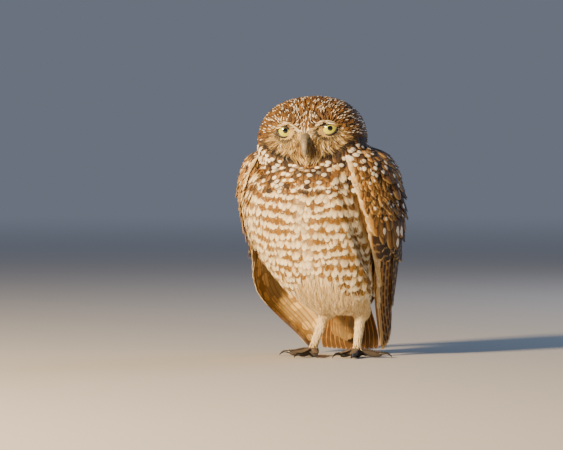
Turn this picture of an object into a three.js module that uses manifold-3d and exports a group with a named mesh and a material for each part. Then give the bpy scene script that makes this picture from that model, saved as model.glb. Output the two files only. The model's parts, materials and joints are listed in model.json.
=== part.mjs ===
// A life-size burrowing owl, standing upright with folded wings, in millimetres.
// +Z is up, the owl faces -Y and its left side is +X. The floor is at z = 0.
// The body, head, wings and tail lean a little to the owl's right over the feet.
import * as THREE from "three";
import { mergeVertices } from "three/addons/utils/BufferGeometryUtils.js";
import Module from "manifold-3d";

const wasm = await Module();
wasm.setup();

// Driving sizes
const GAP = 0.35; // between neighbouring nodes
const HEAD_CENTRE = [0, -14, 187.5];
const HEAD_RADII = { side: 46.5, front: 36, back: 38, up: 36.5, down: 36 };
const HEAD_TURN = { yaw: 10, roll: -3, pitch: 3 }; // degrees
const EYE = { x: 18.5, y: -24, z: 9, r: 8.4, out: 11, lid: 1.25 };
const LID_OPENING = { halfWidth: 6.5, up: 4.1, down: 5.2 };
const SWAY = { from: 20, to: 140, shift: -14, more: -0.006 };
const EYE_STEPS = { wide: 16, high: 11 };
const HEAD_DETAIL = 8; // how finely the head's ball is divided
// Vanes: thickness, rise of the shaft, how far one edge stands over the other, share of the
// width at the root and tip, and where along the vane the round tip begins
const VANE = { thick: 0.7, rise: 0.5, tilt: 0.75, root: 0.5, tip: 0.2, roundFrom: 0.7 };
// Toes: radius, start and end beyond the foot's middle, heights of the path
const TOE = { r: 2.9, start: 2.5, pad: 3.5, heights: [4.6, 4.3, 2.9, 2.7] };
// Claws: how far they reach back into the toe, heights of the path, radii at root and tip
const CLAW = { back: 2.4, heights: [3.1, 4.1, 2.6, 0.55], root: 1.5, tip: 0.28 };

// The surface on which the folded wings lie: height, centre y, half width, half depth
const MANTLE = [
  [184, -2, 39, 33],
  [178, -1, 51, 39],
  [167, 1, 61, 45],
  [154, 3, 66.5, 49],
  [135, 5, 68, 52],
  [113, 9, 65.5, 52],
  [92, 15, 59, 49],
  [70, 25, 50.5, 42],
  [49, 35, 42, 33],
  [32, 42, 37, 26],
  [6, 50, 32, 19],
];
// The wings. edge: height and angle from the front of the leading edge. The owl's right wing
// lies further back, stands off the body below, and its inner feathers reach further down.
const WINGS = [
  { name: "wing_left", side: 1, spread: -4, innerTip: 34,
    edge: [[6, 60], [30, 61], [62, 62], [78, 59], [94, 55], [116, 51], [134, 46], [150, 41], [184, 40]] },
  { name: "wing_right", side: -1, spread: 32, innerTip: 13,
    edge: [[6, 78], [30, 81], [62, 80], [94, 76], [122, 70], [140, 61], [154, 54], [184, 48]] },
];
// Torso: height, centre x, centre y, half width, depth to the front, depth to the back
const TORSO = [
  [37, 6, 2, 20, 13, 12],
  [45, 5.5, 2, 32, 27, 24],
  [60, 3, 2, 44.5, 42, 38],
  [80, 0.5, 3, 54.5, 53, 48],
  [100, 0, 4, 62, 58.5, 50],
  [120, 0, 4, 66.5, 61, 50],
  [140, 0, 3, 67, 59, 48],
  [155, 0, 1, 61, 53, 43],
  [167, 0, 0, 49, 43, 36],
  [174, 0, 0, 30, 28, 24],
];
// Rump: from inside the back down to the tail root, as centre y, centre z, half width, half depth
const RUMP = [
  [14, 112, 34, 22],
  [24, 92, 38, 28],
  [34, 72, 33, 25],
  [40, 56, 24, 17],
  [43.5, 45, 14, 9],
];
// Neck: height, centre y, half width, half depth
const NECK = [
  [150, -1, 38, 36],
  [160, -2, 49, 43],
  [169, -4, 51, 42.5],
  [177, -7, 48, 39.5],
  [186, -11, 38, 31],
];

const rad = THREE.MathUtils.degToRad;
const lerp = THREE.MathUtils.lerp;
const smooth = THREE.MathUtils.smoothstep;
const V = (x, y, z) => new THREE.Vector3(x, y, z);

// Sideways lean of the body at a height.
const sway = (z) => SWAY.shift * smooth(z, SWAY.from, SWAY.to) + SWAY.more * z;

// Reads a table of sections at a height, on one smooth curve through its rows.
function sectionAt(table, key) {
  const rows = table[0][0] < table.at(-1)[0] ? table : [...table].reverse();
  const t = THREE.MathUtils.clamp(key, rows[0][0], rows.at(-1)[0]);
  let i = rows.findIndex((row, n) => n > 0 && t <= row[0]) - 1;
  if (i < 0) i = 0;
  const [k0, k1] = [rows[i][0], rows[i + 1][0]];
  const u = (t - k0) / (k1 - k0);
  return rows[i].map((_, c) => {
    const slope = (n) => {
      const a = rows[Math.max(n - 1, 0)];
      const b = rows[Math.min(n + 1, rows.length - 1)];
      return (b[c] - a[c]) / (b[0] - a[0]);
    };
    const h = k1 - k0;
    const [p0, p1] = [rows[i][c], rows[i + 1][c]];
    const [m0, m1] = [slope(i) * h, slope(i + 1) * h];
    const [u2, u3] = [u * u, u * u * u];
    return (2 * u3 - 3 * u2 + 1) * p0 + (u3 - 2 * u2 + u) * m0 +
      (3 * u2 - 2 * u3) * p1 + (u3 - u2) * m1;
  });
}

// Geometry from points and triangles, and a solid from geometry with its faces outwards.
function geometryOf(points, triangles) {
  const g = new THREE.BufferGeometry().setFromPoints(points);
  g.setIndex(triangles);
  return g;
}

function solidOf(geometry) {
  const bare = geometry.clone();
  bare.deleteAttribute("normal");
  bare.deleteAttribute("uv");
  const g = mergeVertices(bare, 1e-4);
  const vertProperties = new Float32Array(g.attributes.position.array);
  const triVerts = new Uint32Array(g.index.array);
  const make = () =>
    new wasm.Manifold(new wasm.Mesh({ numProp: 3, vertProperties, triVerts }));
  const made = make();
  if (made.volume() > 0) return made;
  for (let i = 0; i < triVerts.length; i += 3)
    [triVerts[i + 1], triVerts[i + 2]] = [triVerts[i + 2], triVerts[i + 1]];
  return make();
}

// Rings of equal length joined into one closed body, with a fan on each end.
function loft(rings) {
  const n = rings[0].length;
  const points = rings.flat();
  const triangles = [];
  for (let i = 0; i + 1 < rings.length; i++)
    for (let j = 0; j < n; j++) {
      const a = i * n + j;
      const b = i * n + ((j + 1) % n);
      triangles.push(a, b, b + n, a, b + n, a + n);
    }
  for (const [ring, flip] of [[0, true], [rings.length - 1, false]]) {
    const middle = rings[ring].reduce((sum, p) => sum.add(p), V(0, 0, 0)).divideScalar(n);
    const m = points.push(middle) - 1;
    for (let j = 0; j < n; j++) {
      const a = ring * n + j;
      const b = ring * n + ((j + 1) % n);
      triangles.push(...(flip ? [m, b, a] : [m, a, b]));
    }
  }
  return solidOf(geometryOf(points, triangles));
}

// Two grids of points, over and under, joined into one closed sheet.
function sheet(top, bottom) {
  const [rows, cols] = [top.length, top[0].length];
  const points = [...top.flat(), ...bottom.flat()];
  const under = rows * cols;
  const triangles = [];
  for (let i = 0; i + 1 < rows; i++)
    for (let j = 0; j + 1 < cols; j++) {
      const [a, b] = [i * cols + j, i * cols + j + 1];
      const [c, d] = [a + cols, b + cols];
      triangles.push(a, b, d, a, d, c);
      triangles.push(a + under, d + under, b + under, a + under, c + under, d + under);
    }
  const edge = (a, b) =>
    triangles.push(a, a + under, b + under, a, b + under, b);
  for (let i = 0; i + 1 < rows; i++) {
    edge((i + 1) * cols, i * cols);
    edge((i + 1) * cols - 1, (i + 2) * cols - 1);
  }
  for (let j = 0; j + 1 < cols; j++) {
    edge(j, j + 1);
    edge((rows - 1) * cols + j + 1, (rows - 1) * cols + j);
  }
  return solidOf(geometryOf(points, triangles));
}

// A round body along a path: a ring across the path at each step, with its two radii.
function tube(path, radii, { sides = 10, steps = 8, grow = 0, up = V(0, 0, 1) } = {}) {
  const rings = [];
  for (let i = 0; i <= steps; i++) {
    const t = i / steps;
    const ahead = path(Math.min(t + 0.02, 1)).sub(path(Math.max(t - 0.02, 0))).normalize();
    const beyond = i === 0 ? -grow : i === steps ? grow : 0;
    const at = path(t).addScaledVector(ahead, beyond);
    const side = V(0, 0, 0).crossVectors(ahead, up).normalize();
    const over = V(0, 0, 0).crossVectors(side, ahead);
    const [rSide, rOver] = radii(t);
    rings.push(Array.from({ length: sides }, (_, j) => {
      const a = (2 * Math.PI * j) / sides;
      return at.clone()
        .addScaledVector(side, (rSide + grow) * Math.cos(a))
        .addScaledVector(over, (rOver + grow) * Math.sin(a));
    }));
  }
  return loft(rings);
}

const throughPoints = (...points) => {
  const curve = new THREE.CatmullRomCurve3(points.map((p) => V(...p)));
  return (t) => curve.getPoint(t);
};

const union = (solids) => solids.reduce((all, solid) => all.add(solid));

function geometryOfSolid(solid) {
  const mesh = solid.getMesh();
  const points = [];
  for (let i = 0; i < mesh.vertProperties.length; i += mesh.numProp)
    points.push(V(...mesh.vertProperties.subarray(i, i + 3)));
  return geometryOf(points, Array.from(mesh.triVerts));
}

const moved = (solid, matrix) => solidOf(geometryOfSolid(solid).applyMatrix4(matrix));

// The largest closed piece of a solid.
const largest = (solid) =>
  solid.decompose().sort((a, b) => b.volume() - a.volume())[0];

// Torso and rump
const TORSO_SIDES = 26;
function torsoSolid(grow = 0) {
  const rings = [];
  const [low, high] = [TORSO[0][0] - grow, TORSO.at(-1)[0] + grow];
  for (let i = 0; i <= 15; i++) {
    const z = lerp(low, high, i / 15);
    const [, cx, cy, half, front, back] = sectionAt(TORSO, z);
    rings.push(Array.from({ length: TORSO_SIDES }, (_, j) => {
      const a = (2 * Math.PI * j) / TORSO_SIDES;
      const depth = (Math.cos(a) > 0 ? front : back) + grow;
      const x = cx + (half + grow) * Math.sin(a);
      return V(x + sway(z), cy - depth * Math.cos(a), z);
    }));
  }
  const rump = RUMP.map(([cy, z, half, depth], i) => {
    const tilt = i < RUMP.length - 1
      ? Math.atan2(RUMP[i + 1][0] - cy, z - RUMP[i + 1][1])
      : Math.atan2(1, 3);
    const beyond = i < RUMP.length - 1 ? 0 : grow * 1.2;
    return Array.from({ length: 20 }, (_, j) => {
      const a = (2 * Math.PI * j) / 20;
      const out = (depth + grow) * Math.cos(a);
      const height = z + out * Math.sin(tilt) - beyond;
      return V((half + grow) * Math.sin(a) + sway(height), cy + out * Math.cos(tilt), height);
    });
  });
  return union([loft(rings), loft(rump)]);
}

function neckSolid(grow = 0) {
  const rings = [];
  const sides = 22;
  for (let i = 0; i <= 6; i++) {
    const z = lerp(NECK[0][0] - grow, NECK.at(-1)[0] + grow, i / 6);
    const [, cy, half, depth] = sectionAt(NECK, z);
    rings.push(Array.from({ length: sides }, (_, j) => {
      const a = (2 * Math.PI * j) / sides;
      return V((half + grow) * Math.sin(a) + sway(z), cy - (depth + grow) * Math.cos(a), z);
    }));
  }
  return loft(rings);
}

// Head: a radius in every direction from the head's centre, in the head's own frame.
// Swellings and hollows: direction, angular width in degrees, height
const PAIRED_BUMPS = [
  [[0.58, -0.79, 0.18], 15, -3.6], // hollow round each eye
  [[0.3, -0.86, 0.52], 13, 2.3], // inner brow
  [[0.62, -0.66, 0.5], 13, 1.6], // outer brow
  [[0.72, -0.6, -0.4], 18, 1.8], // cheek
  [[0.97, -0.2, -0.05], 15, 1.2], // rim of the face
];
const MIDDLE_BUMPS = [
  [[0, -1, 0.02], 12, 3.6], // root of the bill
  [[0, -0.96, -0.3], 15, 4.2], // bristles and chin
  [[0, -0.8, 0.62], 16, -1.6], // dip between the brows
];
const ROUNDNESS = 2.25; // 2 is an ellipsoid, more is squarer

const bump = (d, [x, y, z], width, height) => {
  const angle = d.angleTo(V(x, y, z).normalize());
  return height * Math.exp(-((angle / rad(width)) ** 2));
};

function headRadius(d) {
  const r = HEAD_RADII;
  const axes = [r.side, d.y < 0 ? r.front : r.back, d.z > 0 ? r.up : r.down];
  const sum = d.toArray().reduce((all, c, i) => all + Math.abs(c / axes[i]) ** ROUNDNESS, 0);
  let size = sum ** (-1 / ROUNDNESS);
  for (const [[x, y, z], width, height] of PAIRED_BUMPS)
    size += bump(d, [x, y, z], width, height) + bump(d, [-x, y, z], width, height);
  for (const [towards, width, height] of MIDDLE_BUMPS)
    size += bump(d, towards, width, height);
  return size;
}

function headPlace() {
  const turn = new THREE.Euler(
    rad(HEAD_TURN.pitch), rad(HEAD_TURN.roll), rad(HEAD_TURN.yaw), "ZYX");
  return new THREE.Matrix4()
    .makeTranslation(HEAD_CENTRE[0] + sway(HEAD_CENTRE[2]), HEAD_CENTRE[1], HEAD_CENTRE[2])
    .multiply(new THREE.Matrix4().makeRotationFromEuler(turn));
}

// Moves a solid made in the head's frame to its place.
function inHead(geometry) {
  return solidOf(geometry.clone().applyMatrix4(headPlace()));
}

const CROWDING = 0.36; // how much smaller the head's faces are towards the bill
function headShell(grow = 0) {
  const ball = new THREE.IcosahedronGeometry(1, HEAD_DETAIL);
  ball.deleteAttribute("normal");
  ball.deleteAttribute("uv");
  const g = mergeVertices(ball, 1e-5);
  const at = g.attributes.position;
  const front = V(0, -1, 0.02).normalize();
  for (let i = 0; i < at.count; i++) {
    const d = V(at.getX(i), at.getY(i), at.getZ(i)).normalize();
    const angle = d.angleTo(front);
    const nearer = angle - CROWDING * Math.sin(angle);
    const axis = V(0, 0, 0).crossVectors(front, d);
    const turned = axis.length() < 1e-6
      ? d
      : front.clone().applyAxisAngle(axis.normalize(), nearer);
    turned.multiplyScalar(headRadius(turned) + grow);
    at.setXYZ(i, turned.x, turned.y, turned.z);
  }
  return inHead(g);
}

function eyeGeometry(side, radius) {
  return new THREE.SphereGeometry(radius, EYE_STEPS.wide, EYE_STEPS.high)
    .translate(side * EYE.x, EYE.y, EYE.z);
}

// The almond between the lids, run forwards along the eye's own axis.
function lidOpening(side) {
  const { halfWidth: w, up, down } = LID_OPENING;
  const shape = new THREE.Shape();
  const steps = EYE_STEPS.wide;
  for (let i = 0; i < steps; i++) {
    const a = (2 * Math.PI * i) / steps;
    const slant = 0.1 * side * w * Math.cos(a);
    const reach = Math.sin(a) > 0 ? up : down;
    const x = w * Math.cos(a);
    const y = reach * Math.sin(a) * (0.86 + 0.14 * Math.abs(Math.sin(a))) + slant;
    if (i) shape.lineTo(x, y);
    else shape.moveTo(x, y);
  }
  return new THREE.ExtrudeGeometry(shape, { depth: 16, bevelEnabled: false })
    .rotateX(Math.PI / 2) // the shape now stands up and runs towards -Y
    .rotateZ(rad(side * EYE.out))
    .translate(side * EYE.x, EYE.y, EYE.z);
}

function headSolid() {
  let head = headShell();
  for (const side of [-1, 1])
    head = head.add(inHead(eyeGeometry(side, EYE.r + EYE.lid)));
  for (const side of [-1, 1]) {
    head = head.subtract(inHead(eyeGeometry(side, EYE.r + GAP)));
    head = head.subtract(inHead(lidOpening(side)));
  }
  return head;
}

// Bill: an arched upper mandible with a cere and nostrils, and a short lower one
const UPPER_BILL = throughPoints(
  [0, -30, 3.5], [0, -36.5, 4], [0, -41.9, 1.6], [0, -45.1, -3.2],
  [0, -45.9, -8.5], [0, -44.2, -13.2]);
const LOWER_BILL = throughPoints([0, -31, -2], [0, -37.4, -4], [0, -41.4, -7.4], [0, -42, -9.8]);

function upperBill(grow) {
  return tube(UPPER_BILL, (t) => {
    const taper = Math.sqrt(Math.max(1 - t ** 2.2, 0.004));
    return [3.6 * taper, 4.2 * taper * (1 - 0.25 * t)];
  }, { sides: 12, steps: 9, grow, up: V(0, -1, 0.3) });
}

const toPlace = (solid) => moved(solid, headPlace());

function billSolids(head) {
  const nostrils = [-1, 1].map((side) =>
    solidOf(new THREE.SphereGeometry(0.95, 6, 4).translate(side * 3.1, -39.5, 3.4)));
  const upper = toPlace(upperBill(0).subtract(union(nostrils))).subtract(head);
  const lower = tube(LOWER_BILL, (t) => {
    const taper = Math.sqrt(Math.max(1 - t ** 2, 0.01));
    return [2.9 * taper, 2.2 * taper];
  }, { sides: 12, steps: 7, up: V(0, -1, 0.3) }).subtract(upperBill(GAP));
  return [largest(upper), largest(toPlace(lower).subtract(head))];
}

// A point over the mantle: angle round the body from the front, height, distance out
function onMantle(wing, angle, z, out) {
  const [, cy, half, depth] = sectionAt(MANTLE, z);
  const a = rad(angle);
  const spread = wing.spread * Math.exp(-(((z - 50) / 36) ** 2)) * Math.sin(a);
  const normal = V(Math.sin(a) / half, -Math.cos(a) / depth, 0).normalize();
  const x = half * Math.sin(a) + out * normal.x + spread;
  return V(wing.side * x + sway(z), cy - depth * Math.cos(a) + out * normal.y, z);
}

// One vane: a thin leaf along a path, with a raised shaft, edges lower and a rounded tip
function vane({ path, normal, width, tilt, steps }) {
  const [top, bottom] = [[], []];
  for (let i = 0; i <= steps; i++) {
    const s = i / steps;
    const at = path(s);
    const along = path(Math.min(s + 0.03, 1)).sub(path(Math.max(s - 0.03, 0))).normalize();
    const n = normal(s);
    const side = V(0, 0, 0).crossVectors(n, along).normalize();
    const full = lerp(VANE.root, 1, smooth(s, 0, VANE.roundFrom / 2));
    const inTip = Math.max(s - VANE.roundFrom, 0) / (1 - VANE.roundFrom);
    const half = (width / 2) * full * Math.max(Math.sqrt(1 - inTip ** 2), VANE.tip);
    const row = [-1, 0, 1].map((c) => at.clone()
      .addScaledVector(side, c * half)
      .addScaledVector(n, tilt * c + VANE.rise * (1 - c * c)));
    const depth = i < steps ? VANE.thick : VANE.thick * 0.6;
    top.push(row);
    bottom.push(row.map((p) => p.clone().addScaledVector(n, -depth)));
  }
  return sheet(top, bottom);
}

// A vane lying on the mantle from a root to a tip, each as [angle, height, distance out].
function mantleVane(wing, root, tip, width, steps) {
  const at = (s) => [0, 1, 2].map((k) => lerp(root[k], tip[k], s));
  const path = (s) => onMantle(wing, ...at(s));
  const normal = (s) => {
    const [a, z, h] = at(s);
    const across = onMantle(wing, a + 1, z, h).sub(onMantle(wing, a - 1, z, h));
    const down = onMantle(wing, a, z - 1, h).sub(onMantle(wing, a, z + 1, h));
    return V(0, 0, 0).crossVectors(across, down).multiplyScalar(-wing.side).normalize();
  };
  return vane({ path, normal, width, tilt: VANE.tilt * wing.side, steps });
}

// Edges of a wing, as angles at a height
const leadingEdge = (wing, z) => sectionAt(wing.edge, z)[1];
const trailingEdge = (z) => lerp(171, 156, smooth(z, 80, 170));

// Heights and columns of the grid on which a wing's core and its room are both drawn
const CORE_ROWS = [183, 174, 162, 148, 132, 116, 100, 86];
const CORE_COLS = [0, 0.07, 0.2, 0.36, 0.52, 0.68, 0.84, 0.95, 1];
const wingAngle = (wing, z, t) => lerp(leadingEdge(wing, z), trailingEdge(z), t);

// The thick upper wing that carries the feathers, from the shoulder to below the elbow.
function wingCore(wing) {
  const rows = (out) => CORE_ROWS.map((z) => CORE_COLS.map((t) =>
    onMantle(wing, wingAngle(wing, z, t), z, out(z, t))));
  const swell = (z, t) => {
    const across = Math.sin(Math.PI * lerp(0.05, 0.96, t)) ** 0.4;
    return 1.2 + 3.8 * across * smooth(z, 78, 112) * (1 - smooth(z, 170, 186)) ** 0.5;
  };
  return sheet(rows(swell), rows(() => 0));
}

// Rows of vanes: how many, the spans of root and tip, and their width
function featherTiers(wing) {
  const front = (z) => leadingEdge(wing, z);
  const vanes = [];
  const fan = (count, root, tip, width, steps) => {
    for (let k = 0; k < count; k++) {
      const t = k / (count - 1);
      vanes.push(mantleVane(wing, root(t), tip(t), width(t), steps));
    }
  };
  // Primaries: the long ones of the leading edge, reaching the tail's end
  fan(6, (t) => [lerp(front(92) + 3, front(92) + 48, t), 94, 1.9],
    (t) => [lerp(front(6) + 4, 138, t ** 1.1), lerp(5, wing.innerTip, t ** 1.6), lerp(2, 2.6, t)],
    (t) => lerp(9, 13, t), 5);
  // Secondaries: broad, from the middle of the wing to its trailing edge
  fan(6, (t) => [lerp(front(104) + 34, 160, t), 98, 2.6],
    (t) => [lerp(front(48) + 46, 170, t), lerp(44, 58, t), lerp(4.6, 5.2, t)],
    () => 16, 4);
  // Greater coverts
  fan(6, (t) => [lerp(front(120) + 8, 158, t), 118, 3.6],
    (t) => [lerp(front(84) + 14, 166, t), lerp(78, 72, t), 6.6],
    () => 18, 3);
  // Median coverts
  fan(6, (t) => [lerp(front(142) + 12, 152, t), 140, 3.6],
    (t) => [lerp(front(110) + 12, 158, t), lerp(106, 100, t), 7.2],
    () => 18, 3);
  // Scapulars over the shoulder and back
  fan(5, (t) => [lerp(88, 150, t), 164, 3.6], (t) => [lerp(86, 158, t), lerp(132, 124, t), 7.8],
    () => 18, 3);
  // Alula along the leading edge
  fan(2, (t) => [front(128) + 7 + 9 * t, 126, 3.2], (t) => [front(94) + 4 + 9 * t, 92 + 6 * t, 3.6],
    () => 9, 3);
  return vanes;
}

const wingSolid = (wing) => largest(union([wingCore(wing), ...featherTiers(wing)]));

// The room that a wing takes, sunk by the gap, which its neighbours are cut clear of. In front
// of the wing its floor rises, so that the breast slopes down to the wing's edge.
const ROOM = { front: 19, rise: 8.5, clear: 8.5, behind: 14, above: 26 };
function wingRoom(wing) {
  const heights = [190, ...CORE_ROWS, 70, 54, 38, 22, 2];
  const grid = (out, outInFront) => heights.map((z) => [
    onMantle(wing, wingAngle(wing, z, 0) - ROOM.front, z, outInFront),
    ...[
      wingAngle(wing, z, 0) - ROOM.clear,
      ...CORE_COLS.map((t) => wingAngle(wing, z, t)),
      wingAngle(wing, z, 1) + ROOM.behind,
    ].map((angle) => onMantle(wing, angle, z, out)),
  ]);
  return sheet(grid(ROOM.above, ROOM.above), grid(-GAP, ROOM.rise));
}

// Tail: a closed fan of broad vanes with shorter coverts over and under it. It points a little
// to the owl's right.
const TAIL = { rootY: 43, rootZ: 62, tipY: 60, tipZ: 3.2, halfRoot: 9, halfTip: 24, aside: -6 };
function tailSolid() {
  const T = TAIL;
  const vanes = [];
  const leaf = (across, root, tip, width, tilt) => {
    const path = (s) => {
      const z = lerp(root[1], tip[1], s);
      const x = lerp(root[2], tip[2], s) * across + T.aside * (1 - z / T.rootZ);
      return V(x + sway(z), lerp(root[0], tip[0], s), z);
    };
    vanes.push(vane({ path, normal: () => V(0, 1, 0.25).normalize(), width, tilt, steps: 4 }));
  };
  for (let k = -5; k <= 5; k += 2) { // the outer feathers lie under the inner ones
    const under = 0.675 * Math.abs(k);
    const rise = 0.35 * Math.abs(k);
    leaf(k / 5, [T.rootY - under, T.rootZ, T.halfRoot],
      [T.tipY - under - 1, T.tipZ + rise, T.halfTip], 14, 0.55 * Math.sign(k));
  }
  for (const k of [-1, 0, 1]) { // coverts over the root
    leaf(k, [T.rootY + 2.4, T.rootZ, 6], [T.tipY - 4, 34 + 2 * Math.abs(k), 12], 12, 0);
  }
  for (const k of [-1, 0, 1]) { // pale coverts under the root, seen between the legs
    leaf(k, [T.rootY - 7, T.rootZ - 6, 6], [T.tipY - 17, 13 + 4 * Math.abs(k), 12], 13, 0);
  }
  const root = tube(throughPoints([0, 36, 74], [0, 42, 60], [0, 47.5, 44]),
    (t) => [lerp(13, 10.5, t), lerp(7.5, 5, t)], { sides: 12, steps: 5, up: V(0, 1, 0.3) });
  return union([moved(root, new THREE.Matrix4().makeTranslation(sway(60), 0, 0)), ...vanes]);
}

// Legs, feet, toes and claws. Each foot stands at its own place on the floor.
const FEET = [
  { name: "left", side: 1, foot: [19, 3], hip: [22.5, 4] },
  { name: "right", side: -1, foot: [-20.5, 2], hip: [-8.5, 4] },
];
// Digit: turn outwards from straight ahead, length, claw length
const DIGITS = [
  ["hind", 158, 13.5, 8.5],
  ["inner", -26, 17, 9.5],
  ["middle", 10, 20, 9.5],
  ["outer", 92, 19, 9],
];
const ANKLE = 8.5;

function legParts({ side, foot, hip }) {
  const thigh = (grow) => tube(
    throughPoints([hip[0] * 0.75, 4, 60], [...hip, 44], [hip[0] * 0.98, hip[1], 33]),
    (t) => [lerp(17, 5.6, t ** 0.8), lerp(16, 5.4, t ** 0.8)],
    { sides: 14, steps: 6, grow, up: V(0, -1, 0) });
  const shank = (grow) => tube(
    throughPoints([hip[0], hip[1], 46], [lerp(hip[0], foot[0], 0.35), hip[1], 30], [foot[0], foot[1], ANKLE]),
    (t) => [lerp(4.6, 3.5, t), lerp(4.4, 3.6, t)], { sides: 10, steps: 5, grow, up: V(0, -1, 0) });
  const ball = (grow) => solidOf(new THREE.SphereGeometry(1, 10, 6)
    .scale(5.6 + grow, 5.6 + grow, 4.6 + grow).translate(foot[0], foot[1], 4.2));
  const digits = DIGITS.map(([name, turn, length, claw]) => {
    const a = rad(turn);
    const dir = V(side * Math.sin(a), -Math.cos(a), 0);
    const at = (out, z) => [foot[0] + dir.x * out, foot[1] + dir.y * out, z];
    const [start, end] = [TOE.start, length + TOE.pad];
    const toePath = [0, 0.35, 0.7, 1].map((t, i) => at(lerp(start, end, t), TOE.heights[i]));
    const toe = (grow) => tube(throughPoints(...toePath), (t) => {
      const knuckle = 1 + 0.1 * Math.cos(t * 6 * Math.PI);
      const round = t > 0.86 ? Math.sqrt(1 - ((t - 0.86) / 0.16) ** 2) : 1;
      return [TOE.r * knuckle * round, TOE.r * 1.02 * knuckle * round];
    }, { sides: 8, steps: 5, grow });
    const clawPath = [-CLAW.back, claw * 0.4, claw * 0.8, claw]
      .map((out, i) => at(end + out, CLAW.heights[i]));
    const nail = tube(throughPoints(...clawPath), (t) =>
      [lerp(CLAW.root, CLAW.tip, t), lerp(CLAW.root * 1.13, CLAW.tip, t)], { sides: 6, steps: 3 });
    return { name, toe, nail };
  });
  return { thigh, shank, ball, digits };
}

// Colours of the finished parts
const finish = (color, roughness) =>
  new THREE.MeshStandardMaterial({ color, roughness, metalness: 0 });
const MATERIALS = {
  breast: finish(0xe6d3ae, 0.9),
  crown: finish(0x9a6233, 0.9),
  wing: finish(0x7d4f2c, 0.85),
  tail: finish(0xb98550, 0.85),
  down: finish(0xeadfc8, 0.95),
  skin: finish(0x7a6850, 0.8),
  bill: finish(0xa89a7c, 0.45),
  claw: finish(0x2b2522, 0.4),
  eye: finish(0xf0d431, 0.15),
};

const owl = new THREE.Group();

// Adds a solid as a named mesh.
function add(name, solid, material) {
  const g = geometryOfSolid(solid);
  g.computeVertexNormals();
  const made = new THREE.Mesh(g, material);
  made.name = name;
  owl.add(made);
}

function assemble() {
  const floor = solidOf(new THREE.BoxGeometry(400, 400, 60).translate(0, 0, -30));
  const rooms = WINGS.map(wingRoom);
  const headGrown = headShell(GAP);
  const aboveBody = union([headGrown, ...rooms]);
  const torsoGrown = torsoSolid(GAP);
  add("torso", largest(torsoSolid().subtract(neckSolid(GAP)).subtract(aboveBody)), MATERIALS.breast);
  add("neck", largest(neckSolid().subtract(aboveBody)), MATERIALS.breast);
  add("head", headSolid(), MATERIALS.crown);
  for (const [name, side] of [["eye_left", 1], ["eye_right", -1]])
    add(name, inHead(eyeGeometry(side, EYE.r)), MATERIALS.eye);
  const [upper, lower] = billSolids(headGrown);
  add("bill_upper", upper, MATERIALS.bill);
  add("bill_lower", lower, MATERIALS.bill);
  for (const wing of WINGS)
    add(wing.name, largest(wingSolid(wing).subtract(headGrown)), MATERIALS.wing);
  add("tail", largest(tailSolid().subtract(torsoGrown)), MATERIALS.tail);
  for (const leg of FEET) {
    const { thigh, shank, ball, digits } = legParts(leg);
    add("thigh_" + leg.name, largest(thigh(0).subtract(torsoGrown).subtract(shank(GAP))), MATERIALS.down);
    add("shank_" + leg.name, largest(shank(0).subtract(torsoGrown).subtract(ball(GAP))), MATERIALS.down);
    const toes = union(digits.map((d) => d.toe(GAP)));
    add("foot_" + leg.name, largest(ball(0).subtract(toes).subtract(floor)), MATERIALS.skin);
    const done = [];
    for (const { name, toe, nail } of digits) {
      let solid = toe(0).subtract(floor).subtract(shank(GAP));
      for (const before of done) solid = solid.subtract(before);
      done.push(toe(GAP));
      add(`toe_${leg.name}_${name}`, largest(solid), MATERIALS.skin);
      add(`claw_${leg.name}_${name}`, largest(nail.subtract(toe(GAP)).subtract(floor)), MATERIALS.claw);
    }
  }
}
assemble();

// The origin lies on the floor under the middle of the whole bird.
const middle = new THREE.Box3().setFromObject(owl).getCenter(V(0, 0, 0));
owl.position.set(-middle.x, -middle.y, 0);

export default owl;
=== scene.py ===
# %% [markdown]
# # A burrowing owl, feather by feather
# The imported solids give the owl's outline and proportions. This lesson lays one skin inside them,
# and covers it with feathers: each feather is a thin closed vane that follows the body, and its
# shader paints the bars, spots and streaks by the place across and along the vane.
# Lengths are in millimetres until a mesh is made. The owl faces -Y and its left side is +X.

import json
import math

import bpy
import numpy as np
from mathutils import Euler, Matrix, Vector
from mathutils.bvhtree import BVHTree


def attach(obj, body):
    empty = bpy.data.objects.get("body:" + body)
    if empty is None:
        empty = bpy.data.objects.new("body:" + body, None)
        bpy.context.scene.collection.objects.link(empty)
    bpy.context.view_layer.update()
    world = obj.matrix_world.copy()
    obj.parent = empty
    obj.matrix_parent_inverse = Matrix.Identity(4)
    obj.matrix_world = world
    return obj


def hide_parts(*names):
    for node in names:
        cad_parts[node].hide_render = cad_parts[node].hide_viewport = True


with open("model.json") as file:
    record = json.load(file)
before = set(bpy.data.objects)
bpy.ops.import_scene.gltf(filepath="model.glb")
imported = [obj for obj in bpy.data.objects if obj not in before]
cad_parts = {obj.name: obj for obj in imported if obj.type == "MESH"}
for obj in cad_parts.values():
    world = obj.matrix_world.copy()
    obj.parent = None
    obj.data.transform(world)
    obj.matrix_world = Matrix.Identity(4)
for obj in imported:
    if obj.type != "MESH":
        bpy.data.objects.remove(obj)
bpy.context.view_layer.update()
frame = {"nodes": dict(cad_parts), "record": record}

MM = 0.001
rng = np.random.default_rng(11)

# %% [markdown]
# ## The owl's own measures
# The solids were drawn about the feet, and then moved so that the middle of the whole bird is over
# the origin. The left sole's mount tells how far, so all places below are in the drawing's frame.

# %% Driving sizes
LEFT_FOOT = np.array([19.0, 3.0, 0.0])
RIGHT_FOOT = np.array([-20.5, 2.0, 0.0])
SOLE = {m["name"]: np.array(m["pos_m"]) for m in frame["record"]["mounts"]}
SHIFT = SOLE["sole_left"] / MM - LEFT_FOOT

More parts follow.
